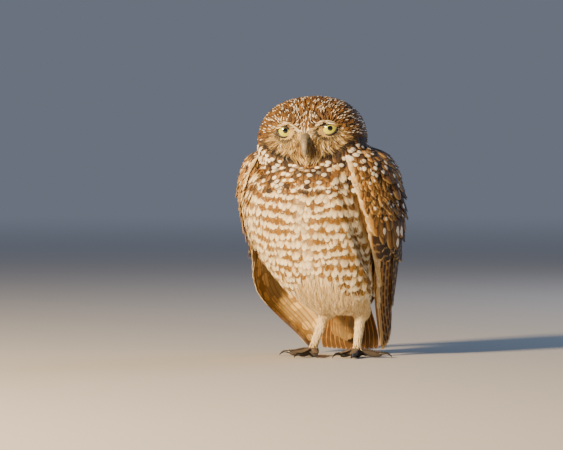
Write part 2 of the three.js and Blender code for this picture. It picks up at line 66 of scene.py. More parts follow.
SWAY = {"from": 20, "to": 140, "shift": -14, "more": -0.006}
EYE = {"x": 18.5, "y": -24.0, "z": 9.0, "r": 8.4, "out": 11}
HEAD_TURN = {"yaw": 10, "roll": -3, "pitch": 3}
# The middle line of the breast stands at this angle round the body
MIDDLE = 4
# The surface on which the folded wings lie: height, centre y, half width, half depth
MANTLE = np.array([
    [6, 50, 32, 19], [32, 42, 37, 26], [49, 35, 42, 33], [70, 25, 50.5, 42], [92, 15, 59, 49],
    [113, 9, 65.5, 52], [135, 5, 68, 52], [154, 3, 66.5, 49], [167, 1, 61, 45],
    [178, -1, 51, 39], [184, -2, 39, 33]], float)
# spread: how far the wing's lower part stands out, inner_tip: height of the last primary's tip,
# edge: height and angle of the wing's leading edge
LEFT_WING = {"name": "left", "side": 1, "spread": -4, "inner_tip": 34, "edge": np.array([
    [6, 60], [30, 61], [62, 62], [78, 59], [94, 55], [116, 51], [134, 46], [150, 41],
    [184, 40]], float)}
RIGHT_WING = {"name": "right", "side": -1, "spread": 32, "inner_tip": 13, "edge": np.array([
    [6, 78], [30, 81], [62, 80], [94, 76], [122, 70], [140, 61], [154, 54], [184, 48]], float)}
WINGS = (LEFT_WING, RIGHT_WING)


def smooth(value, low, high):
    t = np.clip((np.asarray(value, float) - low) / (high - low), 0, 1)
    return t * t * (3 - 2 * t)


def mix(a, b, t):
    return a + (b - a) * t


def unit(v):
    return v / np.maximum(np.linalg.norm(v, axis=-1, keepdims=True), 1e-9)


def side_by_side(*values):
    """Rows that each hold one number from every value, where a single number stands in all rows."""
    return np.stack(np.broadcast_arrays(*values), -1)


def ring_quads(index):
    """Faces between each row of corners and the next row, closed round the last axis."""
    near, far = index[..., :-1, :], index[..., 1:, :]
    return np.stack([near, far, np.roll(far, -1, -1), np.roll(near, -1, -1)], -1)


def sway(z):
    return SWAY["shift"] * smooth(z, SWAY["from"], SWAY["to"]) + SWAY["more"] * np.asarray(z)


def section_at(table, key):
    """Sections at heights, on one smooth curve through the rows of a table."""
    keys = table[:, 0]
    t = np.clip(np.asarray(key, float), keys[0], keys[-1])
    i = np.clip(np.searchsorted(keys, t) - 1, 0, len(keys) - 2)
    before = np.maximum(np.arange(len(keys)) - 1, 0)
    after = np.minimum(np.arange(len(keys)) + 1, len(keys) - 1)
    slope = (table[after] - table[before]) / (keys[after] - keys[before])[:, None]
    h = (keys[i + 1] - keys[i])[..., None]
    u = ((t - keys[i]) / h[..., 0])[..., None]
    return ((2 * u**3 - 3 * u**2 + 1) * table[i] + (u**3 - 2 * u**2 + u) * slope[i] * h
            + (3 * u**2 - 2 * u**3) * table[i + 1] + (u**3 - u**2) * slope[i + 1] * h)


HEAD_CENTRE = np.array([sway(187.5), -14, 187.5], float)
HEAD_ROTATION = np.array(Euler([math.radians(HEAD_TURN[k]) for k in ("pitch", "roll", "yaw")],
                               "XYZ").to_matrix())


def from_head(local):
    return np.asarray(local, float) @ HEAD_ROTATION.T + HEAD_CENTRE


def to_head(points):
    return (points - HEAD_CENTRE) @ HEAD_ROTATION


def around(points):
    """Angle round the body from the front, in degrees, positive on the owl's left."""
    centre_y = section_at(MANTLE, points[..., 2])[..., 1]
    return np.degrees(np.arctan2(points[..., 0] - sway(points[..., 2]), centre_y - points[..., 1]))


def on_mantle(wing, angle, z, out):
    angle, z, out = np.broadcast_arrays(*(np.asarray(v, float) for v in (angle, z, out)))
    _, centre_y, half, depth = np.moveaxis(section_at(MANTLE, z), -1, 0)
    a = np.radians(angle)
    spread = wing["spread"] * np.exp(-(((z - 50) / 36) ** 2)) * np.sin(a)
    normal = unit(np.stack([np.sin(a) / half, -np.cos(a) / depth], -1))
    x = half * np.sin(a) + out * normal[..., 0] + spread
    y = centre_y - depth * np.cos(a) + out * normal[..., 1]
    return np.stack([wing["side"] * x + sway(z), y, z], -1)


def leading_edge(wing, z):
    return section_at(wing["edge"], z)[..., 1]


def trailing_edge(z):
    return mix(171, 156, smooth(z, 80, 170))


# %% [markdown]
# ## Shader arithmetic
# Formulas read best as formulas, so one small class wraps a socket and turns +, -, * and / into
# Math nodes. Every other node is made by one method that takes its type, settings and inputs.

# %% Shader helpers
class Value:
    def __init__(self, sheet, socket):
        self.sheet = sheet
        self.socket = socket

    def math(self, operation, *others):
        inputs = dict(enumerate((self, *others)))
        return self.sheet.node("ShaderNodeMath", {"operation": operation}, inputs)

    def __add__(self, other):
        return self.math("ADD", other)

    def __sub__(self, other):
        return self.math("SUBTRACT", other)

    def __mul__(self, other):
        return self.math("MULTIPLY", other)

    def __truediv__(self, other):
        return self.math("DIVIDE", other)

    def __rsub__(self, other):
        return self.sheet.value(other).math("SUBTRACT", self)

    __radd__ = __add__
    __rmul__ = __mul__

    def smooth(self, low, high):
        """0 below low, 1 above high, and a smooth step between, also with low above high."""
        settings = {"interpolation_type": "SMOOTHSTEP"}
        inputs = {"Value": self, "From Min": low, "From Max": high}
        return self.sheet.node("ShaderNodeMapRange", settings, inputs)

    def clamp(self):
        return self.math("MAXIMUM", 0).math("MINIMUM", 1)


class Sheet:
    """One material's node tree."""

    def __init__(self, name, roughness=0.8):
        self.material = bpy.data.materials.new(name)
        self.material.use_nodes = True
        self.tree = self.material.node_tree
        self.shader = self.tree.nodes["Principled BSDF"]
        self.shader.inputs["Roughness"].default_value = roughness

    def node(self, kind, settings=None, inputs=None, output=0):
        made = self.tree.nodes.new(kind)
        for name, setting in (settings or {}).items():
            setattr(made, name, setting)
        for name, given in (inputs or {}).items():
            if isinstance(given, Value):
                self.tree.links.new(given.socket, made.inputs[name])
            else:
                made.inputs[name].default_value = given
        return Value(self, made.outputs[output])

    def value(self, number):
        made = self.tree.nodes.new("ShaderNodeValue")
        made.outputs[0].default_value = number
        return Value(self, made.outputs[0])

    def attribute(self, name, output="Vector"):
        return self.node("ShaderNodeAttribute", {"attribute_name": name}, output=output)

    def parts(self, vector):
        made = self.tree.nodes.new("ShaderNodeSeparateXYZ")
        self.tree.links.new(vector.socket, made.inputs[0])
        return [Value(self, made.outputs[i]) for i in range(3)]

    def blend(self, amount, first, second):
        """A colour between two, each a colour or another blend."""
        first = first if isinstance(first, Value) else (*first, 1)
        second = second if isinstance(second, Value) else (*second, 1)
        inputs = {0: amount, 6: first, 7: second}
        return self.node("ShaderNodeMix", {"data_type": "RGBA"}, inputs, output=2)

    def brighten(self, colour, factor):
        inputs = {"Color": colour, "Value": factor}
        return self.node("ShaderNodeHueSaturation", {}, inputs)

    def noise(self, scale, detail=3, stretch=None):
        place = self.node("ShaderNodeTexCoord", output="Object")
        if stretch:
            place = self.node("ShaderNodeMapping", {}, {"Vector": place, "Scale": stretch})
        inputs = {"Vector": place, "Scale": scale, "Detail": detail}
        return self.node("ShaderNodeTexNoise", {}, inputs)

    def bump(self, height, strength, distance):
        inputs = {"Height": height, "Strength": strength, "Distance": distance}
        return self.node("ShaderNodeBump", {}, inputs)

    def finish(self, **links):
        """Links values to the shader's inputs, and hands over the material."""
        names = {"color": "Base Color", "normal": "Normal", "glow": "Emission Color"}
        for key, given in links.items():
            self.tree.links.new(given.socket, self.shader.inputs[names[key]])
        return self.material


# %% [markdown]
# ## Meshes from arrays
# A piece made of thousands of feathers is filled straight from arrays. Every vertex carries its
# place in its own feather ("vane") and what sets that feather apart ("look"), which the shaders
# read. The map OFBake gives each feather a small patch at its root's place on the unrolled body.

# %% Mesh helpers
def to_world(points):
    return (np.asarray(points) + SHIFT) * MM


def read_points(mesh):
    places = np.empty(len(mesh.vertices) * 3)
    mesh.vertices.foreach_get("co", places)
    return places.reshape(-1, 3) / MM - SHIFT


def new_object(name, mesh, material=None):
    made = bpy.data.objects.new(name, mesh)
    bpy.context.scene.collection.objects.link(made)
    if material:
        mesh.materials.append(material)
    return made


def mesh_of(name, points, faces, sizes):
    """A mesh from points in mm, the corners of all faces in a row, and each face's size."""
    mesh = bpy.data.meshes.new(name)
    mesh.vertices.add(len(points))
    mesh.vertices.foreach_set("co", to_world(points).ravel())
    mesh.loops.add(len(faces))
    mesh.loops.foreach_set("vertex_index", faces)
    mesh.polygons.add(len(sizes))
    starts = np.concatenate([[0], np.cumsum(sizes)[:-1]])
    mesh.polygons.foreach_set("loop_start", starts)
    mesh.polygons.foreach_set("use_smooth", np.ones(len(sizes), bool))
    mesh.update(calc_edges=True)
    return mesh


def add_vectors(mesh, name, values):
    layer = mesh.attributes.new(name, "FLOAT_VECTOR", "POINT")
    layer.data.foreach_set("vector", np.asarray(values, float).ravel())


# How wide a feather's patch on the map is, as a share of the map
BAKE_PATCH = 0.003


def unrolled(points):
    """Places on the unrolled body, 0 to 1 each way: the body's coat below, the head's above."""
    local = to_head(points)
    is_head = head_size(points) < 1.07
    turn = np.arctan2(local[:, 0], -local[:, 1]) / (2 * math.pi)
    rise = np.arcsin(np.clip(local[:, 2] / np.linalg.norm(local, axis=1), -1, 1)) / math.pi
    head = np.stack([0.5 + turn * 0.98, 0.8 + rise * 0.38], 1)
    body = np.stack([0.5 + around(points) / 367, 0.005 + points[:, 2] / 190 * 0.59], 1)
    return np.clip(np.where(is_head[:, None], head, body), 0.004, 0.996)


def corners_of(mesh):
    """The vertex at each corner of the faces."""
    corners = np.empty(len(mesh.loops), np.int32)
    mesh.loops.foreach_get("vertex_index", corners)
    return corners


def set_bake_map(mesh, places):
    """places: where each vertex lies on the map, 0 to 1 each way."""
    layer = mesh.uv_layers.new(name="OFBake")
    layer.data.foreach_set("uv", places[corners_of(mesh)].astype(np.float32).ravel())


# %% [markdown]
# A vane is a run of rings along its centre line. Each ring is a thin lens: an arched upper side,
# a lower side close under it, and both meeting at sharp edges. Soft feathers get a fringe of
# fine barbs too, each a long thin pyramid that grows from the vane's edge near the tip.

# %% Vanes
SHARP_EDGE = math.radians(70)


def vanes(centre, normal, half, look, rows, columns=5, camber=0.25, thick=0.25):
    """Closed vanes. centre and normal: feathers x rows x 3, half: half widths, feathers x rows."""
    count, steps, _ = centre.shape
    along = unit(np.gradient(centre, axis=1))
    side = unit(np.cross(normal, along))
    u = np.linspace(-1, 1, columns)
    arch = -camber * half[..., None] * u**2
    body = thick * (1 - u**2) * np.ones_like(half)[..., None]
    across = centre[:, :, None] + side[:, :, None] * (half[..., None] * u)[..., None]
    top = across + normal[:, :, None] * (arch + body / 2)[..., None]
    under = across + normal[:, :, None] * (arch - body / 2)[..., None]
    ring = np.concatenate([top, under[:, :, -2:0:-1]], 2)
    width = ring.shape[2]
    shape = (count, steps, width, 3)
    vane = np.empty(shape)
    vane[..., 0] = np.concatenate([u, u[-2:0:-1]]) * 0.5 + 0.5
    vane[..., 1] = np.asarray(rows)[None, :, None]
    vane[..., 2] = np.concatenate([np.zeros(columns), np.ones(columns - 2)])
    index = np.arange(count * steps * width).reshape(count, steps, width)
    quads = ring_quads(index).reshape(-1)
    caps = np.concatenate([index[:, 0], index[:, -1, ::-1]], 0).reshape(-1)
    return {
        "points": ring.reshape(-1, 3),
        "faces": np.concatenate([quads, caps]),
        "sizes": np.concatenate([np.full(len(quads) // 4, 4), np.full(count * 2, width)]),
        "vane": vane.reshape(-1, 3),
        "look": np.broadcast_to(look[:, None, None, :], shape).reshape(-1, 3),
        "roots": np.broadcast_to(centre[:, :1, None, :], shape).reshape(-1, 3),
    }


def barbs(centre, normal, half, look, rows, each, length, width, start):
    """A fringe of fine pyramids round the tips of the same vanes, from start (0 to 1) on."""
    count, steps, _ = centre.shape
    v = np.asarray(rows)
    place = rng.uniform(start, 1.0, (count, each))
    u = rng.uniform(-1, 1, (count, each))
    nearer_edge = np.sign(u) * np.abs(u) ** 0.5
    at = np.clip(np.searchsorted(v, place) - 1, 0, steps - 2)
    t = ((place - v[at]) / (v[at + 1] - v[at]))[..., None]
    pick = np.arange(count)[:, None]
    along = unit(np.gradient(centre, axis=1))[pick, at]
    n = normal[pick, at]
    side = unit(np.cross(n, along))
    w = mix(half[pick, at], half[pick, at + 1], t[..., 0])
    base = mix(centre[pick, at], centre[pick, at + 1], t) + side * (w * nearer_edge * 0.92)[..., None]
    lean = side * (nearer_edge * rng.uniform(0.2, 0.8, u.shape))[..., None]
    reach = length * rng.uniform(0.55, 1.25, u.shape)
    lift = n * rng.uniform(-0.12, 0.2, u.shape)[..., None]
    way = unit(along + lean + lift)
    tip = base + way * reach[..., None]
    back = base - way * 0.6
    half_width = width / 2
    corners = np.stack([back + side * half_width, back - side * half_width,
                        back + n * half_width * 1.2, tip], 2)
    index = np.arange(count * each * 4).reshape(-1, 4)
    faces = index[:, [0, 1, 2, 0, 3, 1, 1, 3, 2, 2, 3, 0]].reshape(-1)
    shape = (count, each, 4, 3)
    vane = np.empty(shape)
    vane[..., 0] = (nearer_edge * 0.5 + 0.5)[..., None]
    vane[..., 1] = np.minimum(place[..., None] + np.array([0, 0, 0, 0.12]), 1)
    vane[..., 2] = 0
    return {
        "points": corners.reshape(-1, 3),
        "faces": faces,
        "sizes": np.full(len(index) * 4, 3),
        "vane": vane.reshape(-1, 3),
        "look": np.broadcast_to(look[:, None, None, :], shape).reshape(-1, 3),
        "roots": np.broadcast_to(centre[:, :1, None, :], shape).reshape(-1, 3),
    }


def plumes(lie, half, look, rows, fringe=None, **shape):
    """Vanes along centre lines with normals, and barbs where a fringe's measures are given."""
    centre, normal = lie
    batches = [vanes(centre, normal, half, look, rows, **shape)]
    if fringe:
        batches.append(barbs(centre, normal, half, look, rows, **fringe))
    return batches


def piece(name, batches, material):
    """Joins batches of vanes and barbs into one object that rides on the body."""
    offset = 0
    faces = []
    for batch in batches:
        faces.append(batch["faces"] + offset)
        offset += len(batch["points"])
    join = {key: np.concatenate([batch[key] for batch in batches])
            for key in ("points", "sizes", "vane", "look", "roots")}
    mesh = mesh_of(name, join["points"], np.concatenate(faces), join["sizes"])
    mesh.set_sharp_from_angle(angle=SHARP_EDGE)
    add_vectors(mesh, "vane", join["vane"])
    add_vectors(mesh, "look", join["look"])
    # each feather has its own small patch of the map, at its root's place
    set_bake_map(mesh, unrolled(join["roots"]) + (join["vane"][:, :2] - 0.5) * BAKE_PATCH)
    made = new_object(name, mesh, material)
    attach(made, "root")
    return made


# %% [markdown]
# ## One skin
# Copies of the solids of flesh are joined with the arms of the wings, and remeshed into one closed
# surface. That surface is where the coat's tips lie. The skin is the same surface drawn in by the
# coat's depth, which is deepest on the breast and back, thin on the shoulders' tops and nothing on
# the toes.

# %% Skin
FLESH = [name for name in frame["nodes"]
         if name.split("_")[0] in ("torso", "neck", "head", "thigh", "shank", "foot", "toe", "eye")]
HEAD_HALF = np.array([46.5, 37.0, 36.5])
HEAD_POWER = 2.25
VOXEL = 1.22
ROUNDS = 14


def head_size(points):
    """1 on the head's surface, less inside it."""
    local = np.abs(to_head(points)) / HEAD_HALF
    return (local**HEAD_POWER).sum(-1) ** (1 / HEAD_POWER)


def coat_depth(points):
    """How far the skin lies under the coat's outer surface, in mm."""
    z = points[:, 2]
    local = to_head(points)
    body, leg, shoulder, crown, face = 3.6, 0.7, 0.4, 2.2, 1.1
    depth = np.maximum(body * smooth(z, 34, 60), leg * smooth(z, 9, 14))
    # the top of the shoulder is thin, so the skin stays close under its feathers
    on_shoulder = smooth(z, 158, 170) * smooth(np.abs(around(points)), 32, 48)
    depth = mix(depth, shoulder, on_shoulder)
    on_face = smooth(-local[:, 1], 12, 24) * smooth(local[:, 2], 22, 12)
    on_head = smooth(head_size(points), 1.2, 1.06)
    return mix(depth, mix(crown, face, on_face), on_head)


def wing_arm(wing):
    """The fleshy part of a folded wing, as a closed sheet over the mantle."""
    top, bottom, steps = 181, 88, 24
    t = np.linspace(0, 1, steps)
    z = np.linspace(top, bottom, steps)[:, None] * np.ones(steps)
    angle = mix(leading_edge(wing, z), trailing_edge(z), t)
    swell = np.sin(math.pi * mix(0.03, 0.97, t)) ** 0.4
    ends = smooth(z, 84, 112) * np.sqrt(1 - smooth(z, 170, 184))
    upper = on_mantle(wing, angle, z, 0.6 + 2.6 * swell * ends)
    lower = on_mantle(wing, angle, z, -2.5)
    rings = np.concatenate([upper, lower[:, ::-1]], 1)
    count, width = rings.shape[:2]
    index = np.arange(count * width).reshape(count, width)
    quads = ring_quads(index).reshape(-1, 4)
    if wing["side"] < 0:
        quads = quads[:, ::-1]
    caps = [list(index[0]), list(index[-1, ::-1])]
    return rings.reshape(-1, 3), quads.tolist() + caps


def outer_surface():
    """One closed surface round the solids of flesh and the arms of the wings."""
    solids = [frame["nodes"][name].data for name in FLESH]
    parts = [(read_points(solid), [list(face.vertices) for face in solid.polygons]) for solid in solids]
    parts += [wing_arm(wing) for wing in WINGS]
    points, faces = [], []
    count = 0
    for places, corners in parts:
        points.append(places)
        faces += [[v + count for v in face] for face in corners]
        count += len(places)
    mesh = bpy.data.meshes.new("flesh")
    mesh.from_pydata(to_world(np.concatenate(points)).tolist(), [], faces)
    made = new_object("flesh", mesh)
    remesh = made.modifiers.new("one surface", "REMESH")
    remesh.mode = "VOXEL"
    remesh.voxel_size = VOXEL * MM
    graph = bpy.context.evaluated_depsgraph_get()
    surface = bpy.data.meshes.new_from_object(made.evaluated_get(graph))
    bpy.data.objects.remove(made)
    return surface


def relax(mesh, rounds, weight_of):
    """Evens the surface out: each point moves towards the middle of its neighbours."""
    edges = np.empty(len(mesh.edges) * 2, np.int64)
    mesh.edges.foreach_get("vertices", edges)
    a, b = edges.reshape(-1, 2).T
    points = read_points(mesh)
    degree = np.bincount(np.concatenate([a, b]), minlength=len(points))[:, None]
    weight = weight_of(points)[:, None]
    for _ in range(rounds):
        total = np.zeros_like(points)
        for axis in range(3):
            total[:, axis] = (np.bincount(a, points[b, axis], len(points))
                              + np.bincount(b, points[a, axis], len(points)))
        points = mix(points, total / np.maximum(degree, 1), weight)
    mesh.vertices.foreach_set("co", to_world(points).ravel())
    mesh.update()


def vertex_normals(mesh):
    normals = np.empty(len(mesh.vertices) * 3)
    mesh.vertices.foreach_get("normal", normals)
    return normals.reshape(-1, 3)


skin_mesh = outer_surface()
relax(skin_mesh, ROUNDS, lambda p: mix(0.18, 0.7, smooth(p[:, 2], 30, 50)))
outer_points = read_points(skin_mesh)
outer_normals = vertex_normals(skin_mesh)
outer_quads = corners_of(skin_mesh).reshape(-1, 4)
outer_tree = BVHTree.FromPolygons(outer_points.tolist(), outer_quads.tolist())
quad_normals = unit(outer_normals[outer_quads].mean(1))


def nearest(points):
    """The nearest places on the coat's outer surface, with the surface's normals."""
    found = [outer_tree.find_nearest(Vector(p)) for p in points]
    place = np.array([tuple(f[0]) for f in found])
    return place, quad_normals[[f[2] for f in found]]


# %% [markdown]
# ## Markings
# A few functions say where the owl is brown, cream or pale. They colour the skin that shows
# between the feathers, and say which breast feathers have no bar.

# %% Markings
CREAM = np.array([0.80, 0.52, 0.17])
WHITE = np.array([0.95, 0.83, 0.62])
WARM_WHITE = np.array([0.96, 0.80, 0.50])
OCHRE = np.array([0.31, 0.145, 0.014])
GOLDEN = np.array([0.40, 0.175, 0.022])
RUFOUS = np.array([0.21, 0.080, 0.012])
BROWN = np.array([0.095, 0.042, 0.012])
DARK = np.array([0.028, 0.015, 0.009])
GREY_SKIN = np.array([0.065, 0.045, 0.028])


def belly_whiteness(points):
    """1 on the pale middle line and on the unbarred lower belly."""
    angle = around(points)
    z = points[:, 2]
    line = 0.8 * np.exp(-(((angle - 2) / 2.6) ** 2)) * smooth(z, 150, 110)
    low = smooth(z, 64, 48) * smooth(np.abs(angle - MIDDLE), 26, 10)
    return np.clip(line + low, 0, 1)


def brown_band(points):
    """1 on the brown upper breast, below the white collar."""
    z = points[:, 2]
    return smooth(z, 146, 153) * smooth(np.abs(around(points)), 150, 120)


def skin_colours(points):
    local = to_head(points)
    z = points[:, 2]
    angle = np.abs(around(points))
    front = smooth(angle, 85, 60)[:, None]
    colour = mix(BROWN, CREAM, front)
    colour = mix(colour, BROWN, (brown_band(points) * 0.75)[:, None])
    face = smooth(-local[:, 1], 14, 24) * smooth(local[:, 2], 14, 8)
    head = mix(BROWN, CREAM * 0.75, face[:, None])
    colour = mix(colour, head, smooth(head_size(points), 1.1, 1.04)[:, None])
    legs = smooth(z, 50, 36)[:, None]
    colour = mix(colour, CREAM, legs)
    return mix(colour, GREY_SKIN, smooth(z, 13, 9)[:, None])


def grained_material(name, roughness, scale, detail, colours, strength, depth):
    """A material whose grain runs between two colours and shows in the relief."""
    sheet = Sheet(name, roughness)
    grain = sheet.noise(scale, detail)
    return sheet.finish(color=sheet.blend(grain, *colours), normal=sheet.bump(grain, strength, depth))


def skin_material():
    sheet = Sheet("skin", roughness=0.75)
    colour = sheet.attribute("coat", output="Color")
    grain = sheet.noise(700, 4)
    scales = sheet.node("ShaderNodeTexVoronoi", {"feature": "DISTANCE_TO_EDGE"},
                        {"Vector": sheet.node("ShaderNodeTexCoord", output="Object"), "Scale": 900})
    height = grain * 0.3 + scales.smooth(0, 0.3)
    shaded = sheet.brighten(colour, 0.75 + grain * 0.5)
    return sheet.finish(color=shaded, normal=sheet.bump(height, 0.6, 0.0005))


def colour_skin(mesh, points):
    layer = mesh.color_attributes.new("coat", "FLOAT_COLOR", "POINT")
    rgba = np.concatenate([skin_colours(points), np.ones((len(points), 1))], 1)
    layer.data.foreach_set("color", rgba.ravel())
    set_bake_map(mesh, unrolled(points))


skin_points = outer_points - outer_normals * coat_depth(outer_points)[:, None]
skin_mesh.vertices.foreach_set("co", to_world(skin_points).ravel())
skin_mesh.polygons.foreach_set("use_smooth", np.ones(len(skin_mesh.polygons), bool))
skin_mesh.update()
colour_skin(skin_mesh, outer_points)
skin = new_object("skin", skin_mesh, skin_material())
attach(skin, "root")
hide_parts(*[name for name in FLESH if not name.startswith("eye")])


# %% [markdown]
# ## Feather materials
# One function paints every kind of feather from its place across (0 to 1) and along (0 at the
# root, 1 at the tip). "look" holds three numbers for each feather: its tone, how strong its
# marking is, and one more that each kind uses in its own way.

# %% Feather materials
def feather_sheet(name, roughness=0.72):
    sheet = Sheet(name, roughness)
    across, along, under = sheet.parts(sheet.attribute("vane"))
    tone, mark, other = sheet.parts(sheet.attribute("look"))
    from_shaft = (across - 0.5).math("ABSOLUTE") * 2
    return sheet, {"across": across, "along": along, "under": under, "tone": tone,
                   "mark": mark, "other": other, "from_shaft": from_shaft}


def finish_feather(sheet, f, colour, barb_count=26, shaft=0.25, strength=0.35):
    """Barbs run out and forward from the shaft, and show in the tone and the relief."""
    run = f["along"] * barb_count - f["from_shaft"] * (barb_count * 0.16)
    wave = (run * (2 * math.pi)).math("SINE") * 0.5 + 0.5
    grain = sheet.noise(420, 3)
    line = f["from_shaft"].smooth(0.1, 0.0)
    tone = 0.72 + f["tone"] * 0.4 + wave * 0.08 + grain * 0.12 - line * shaft * 0.3
    height = wave * 0.5 + line
    return sheet.finish(color=sheet.brighten(colour, tone),
                        normal=sheet.bump(height, strength, 0.00025))


def barred_material():
    """Breast feathers: cream, with a bar behind a pale tip. other: the bar, from ochre to rufous."""
    sheet, f = feather_sheet("breast_feathers", 0.85)
    wobble = sheet.noise(230, 3) * 0.16 - 0.08
    place = f["along"] + f["from_shaft"] * 0.03 + wobble
    bar = place.smooth(0.64, 0.74) * place.smooth(1.06, 0.96)
    colour = sheet.blend(f["along"].smooth(0.55, 0.9), CREAM * 0.85, WARM_WHITE)
    rust = sheet.blend(f["other"], OCHRE, RUFOUS)
    colour = sheet.blend((bar * f["mark"] * 1.15).clamp(), colour, rust)
    return finish_feather(sheet, f, colour, 22)


def spotted_material():
    """Brown feathers with a ragged white spot near the tip. other: the spot's size."""
    sheet, f = feather_sheet("spotted_feathers", 0.75)
    ragged = sheet.noise(260, 3) * 1.6 - 0.8
    x = (f["across"] - 0.5) / (0.12 + f["other"] * 0.3)
    y = (f["along"] - 0.84) / (0.08 + f["other"] * 0.11)
    round_spot = (x * x + y * y + ragged).smooth(1.2, 0.6) * f["mark"]
    # tone runs from brown to golden; on the wings it also carries painted light near the leading edge
    # and painted shade behind it
    colour = sheet.blend(f["tone"], BROWN * 0.7, GOLDEN * 1.05)
    edge = f["from_shaft"].smooth(0.5, 0.95) * f["tone"].smooth(0.1, 0.6)
    colour = sheet.blend(edge * 0.75, colour, CREAM * 0.75)
    # dark along the shaft, the feathers' own marking, and darker towards the root: partly their own
    # dark bases, partly painted shade under the feathers that lie over them
    streak = f["from_shaft"].smooth(0.28, 0.05) + f["along"].smooth(0.8, 0.4)
    colour = sheet.blend((streak * 0.75).clamp(), colour, DARK * 1.3)
    colour = sheet.blend(round_spot, colour, WHITE)
    return finish_feather(sheet, f, colour, 24)


def streaked_material():
    """Crown feathers: rufous brown with a white streak along the shaft. other: its width."""
    sheet, f = feather_sheet("crown_feathers", 0.72)
    streak = f["from_shaft"].smooth(0.25 + f["other"] * 0.5, 0.05 + f["other"] * 0.4)
    streak = streak * f["along"].smooth(0.4, 0.6) * f["mark"]
    colour = sheet.blend(f["tone"], BROWN * 0.55, GOLDEN * 0.55)
    colour = sheet.blend(streak, colour, WHITE * 0.95)
    return finish_feather(sheet, f, colour, 14)


def face_material():
    """Face bristles: from brown (mark 0) to white (mark 1), darker at the root. other: how black."""
    sheet, f = feather_sheet("face_feathers", 0.8)
    colour = sheet.blend(f["mark"].smooth(0, 0.7), BROWN * 0.9, CREAM * 0.72)
    colour = sheet.blend(f["mark"].smooth(0.6, 1), colour, WHITE)
    colour = sheet.blend(f["other"], colour, DARK * 0.4)
    colour = sheet.blend(f["along"].smooth(0.45, 0.0) * 0.45, colour, BROWN * 0.6)
    return finish_feather(sheet, f, colour, 10, strength=0.2)


def down_material():
    """Down: from cream (mark 0) to warm white (mark 1). other: how golden."""
    sheet, f = feather_sheet("down", 0.9)
    colour = sheet.blend(f["mark"], CREAM * 0.9, WARM_WHITE)
    colour = sheet.blend(f["other"], colour, GOLDEN * 0.8)
    return finish_feather(sheet, f, colour, 8, strength=0.15)


def flight_material():
    """Flight and tail feathers: dark brown with pale bars, a pale tip and a shaft.
    mark: number of bars / 10, other: from dark brown (0) to rufous (1), with golden edges
    from about 0.1 on."""
    sheet, f = feather_sheet("flight_feathers", 0.6)
    bars = f["along"] * f["mark"] * 10 + f["from_shaft"] * 0.22
    bars = bars + sheet.noise(110, 3) * 0.5 + f["tone"]
    wave = (bars * (2 * math.pi)).math("SINE")
    bar = wave.smooth(0.55, 0.8)
    broken = f["from_shaft"].smooth(0.1, 0.35) * (f["across"].smooth(0.3, 0.6) * 0.7 + 0.3)
    tip = f["along"].smooth(0.955, 0.985)
    base = sheet.blend(f["tone"], DARK * 0.45, BROWN * 0.55)
    base = sheet.blend(f["other"], base, RUFOUS * 1.3)
    pale = sheet.blend(f["other"], CREAM * 0.8, CREAM * 1.05)
    colour = sheet.blend((bar * broken).clamp(), base, pale)
    colour = sheet.blend(tip, colour, CREAM * 0.9)
    edge = f["from_shaft"].smooth(0.7, 0.9) * (f["other"] * 7 + 0.2).clamp()
    colour = sheet.blend(edge * 0.85, colour, GOLDEN * 1.5)
    # the underside is cream with golden blotches and paler round spots
    blotch = sheet.noise(50, 2).smooth(0.5, 0.62)
    inner = sheet.blend(blotch * 0.7, CREAM * 0.8, GOLDEN * 0.8)
    place = sheet.node("ShaderNodeTexCoord", output="Object")
    spread = {"Vector": place, "Scale": 105, "Randomness": 0.7}
    cells = sheet.node("ShaderNodeTexVoronoi", {}, spread)
    inner = sheet.blend(cells.smooth(0.48, 0.40), inner, CREAM * 1.3)
    # the tail's undersides, seen between the legs, are darker: partly the tail's own dark brown, partly
    # painted shade
    inner = sheet.blend(f["other"].smooth(0.3, 0.6), inner, GOLDEN * 0.28)
    colour = sheet.blend(f["under"] * 0.96, colour, inner)
    shaft = f["from_shaft"].smooth(0.09, 0.04) * (1 - f["under"] * 0.6)
    colour = sheet.blend(shaft * 0.6, colour, BROWN * 0.9)
    return finish_feather(sheet, f, colour, 60, shaft=0.0)


BARRED = barred_material()
SPOTTED = spotted_material()
STREAKED = streaked_material()
FACE = face_material()
DOWN = down_material()
FLIGHT = flight_material()


# %% [markdown]
# ## How feathers lie
# A feather starts at a root in the skin and is walked along the body's outer surface, following
# the flow of the coat: down the body, outwards from the bill on the head, and out from each eye
# on the face. Its tip comes up to the surface, over the feathers below it.

# %% Lie of the coat
BILL_ROOT = np.array([0.0, -37.0, 6.0])
EYES = [np.array([side * EYE["x"], EYE["y"] - 6, EYE["z"]]) for side in (1, -1)]


def body_flow(points):
    """Down the body, and a little back towards the tail low down."""
    return side_by_side(0, 0.25 * smooth(points[:, 2], 90, 40), -1)


def head_flow(points):
    local = to_head(points)
    way = unit(local - BILL_ROOT)
    way[:, 2] -= 0.35 * smooth(local[:, 1], -10, 20)
    for eye in EYES:
        away = local - eye
        near = smooth(np.linalg.norm(away, axis=1), 21, 12)[:, None]
        way = mix(way, unit(away), near * 0.85)
    # under the cheeks the bristles sweep in and down towards the bill's tip
    inward = side_by_side(-np.sign(local[:, 0]) * 0.5, -0.25, -1.0)
    low = smooth(local[:, 2] + 0.33 * np.abs(local[:, 0]), -3, -10)[:, None]
    way = mix(way, unit(inward), low * 0.85)
    return way @ HEAD_ROTATION.T


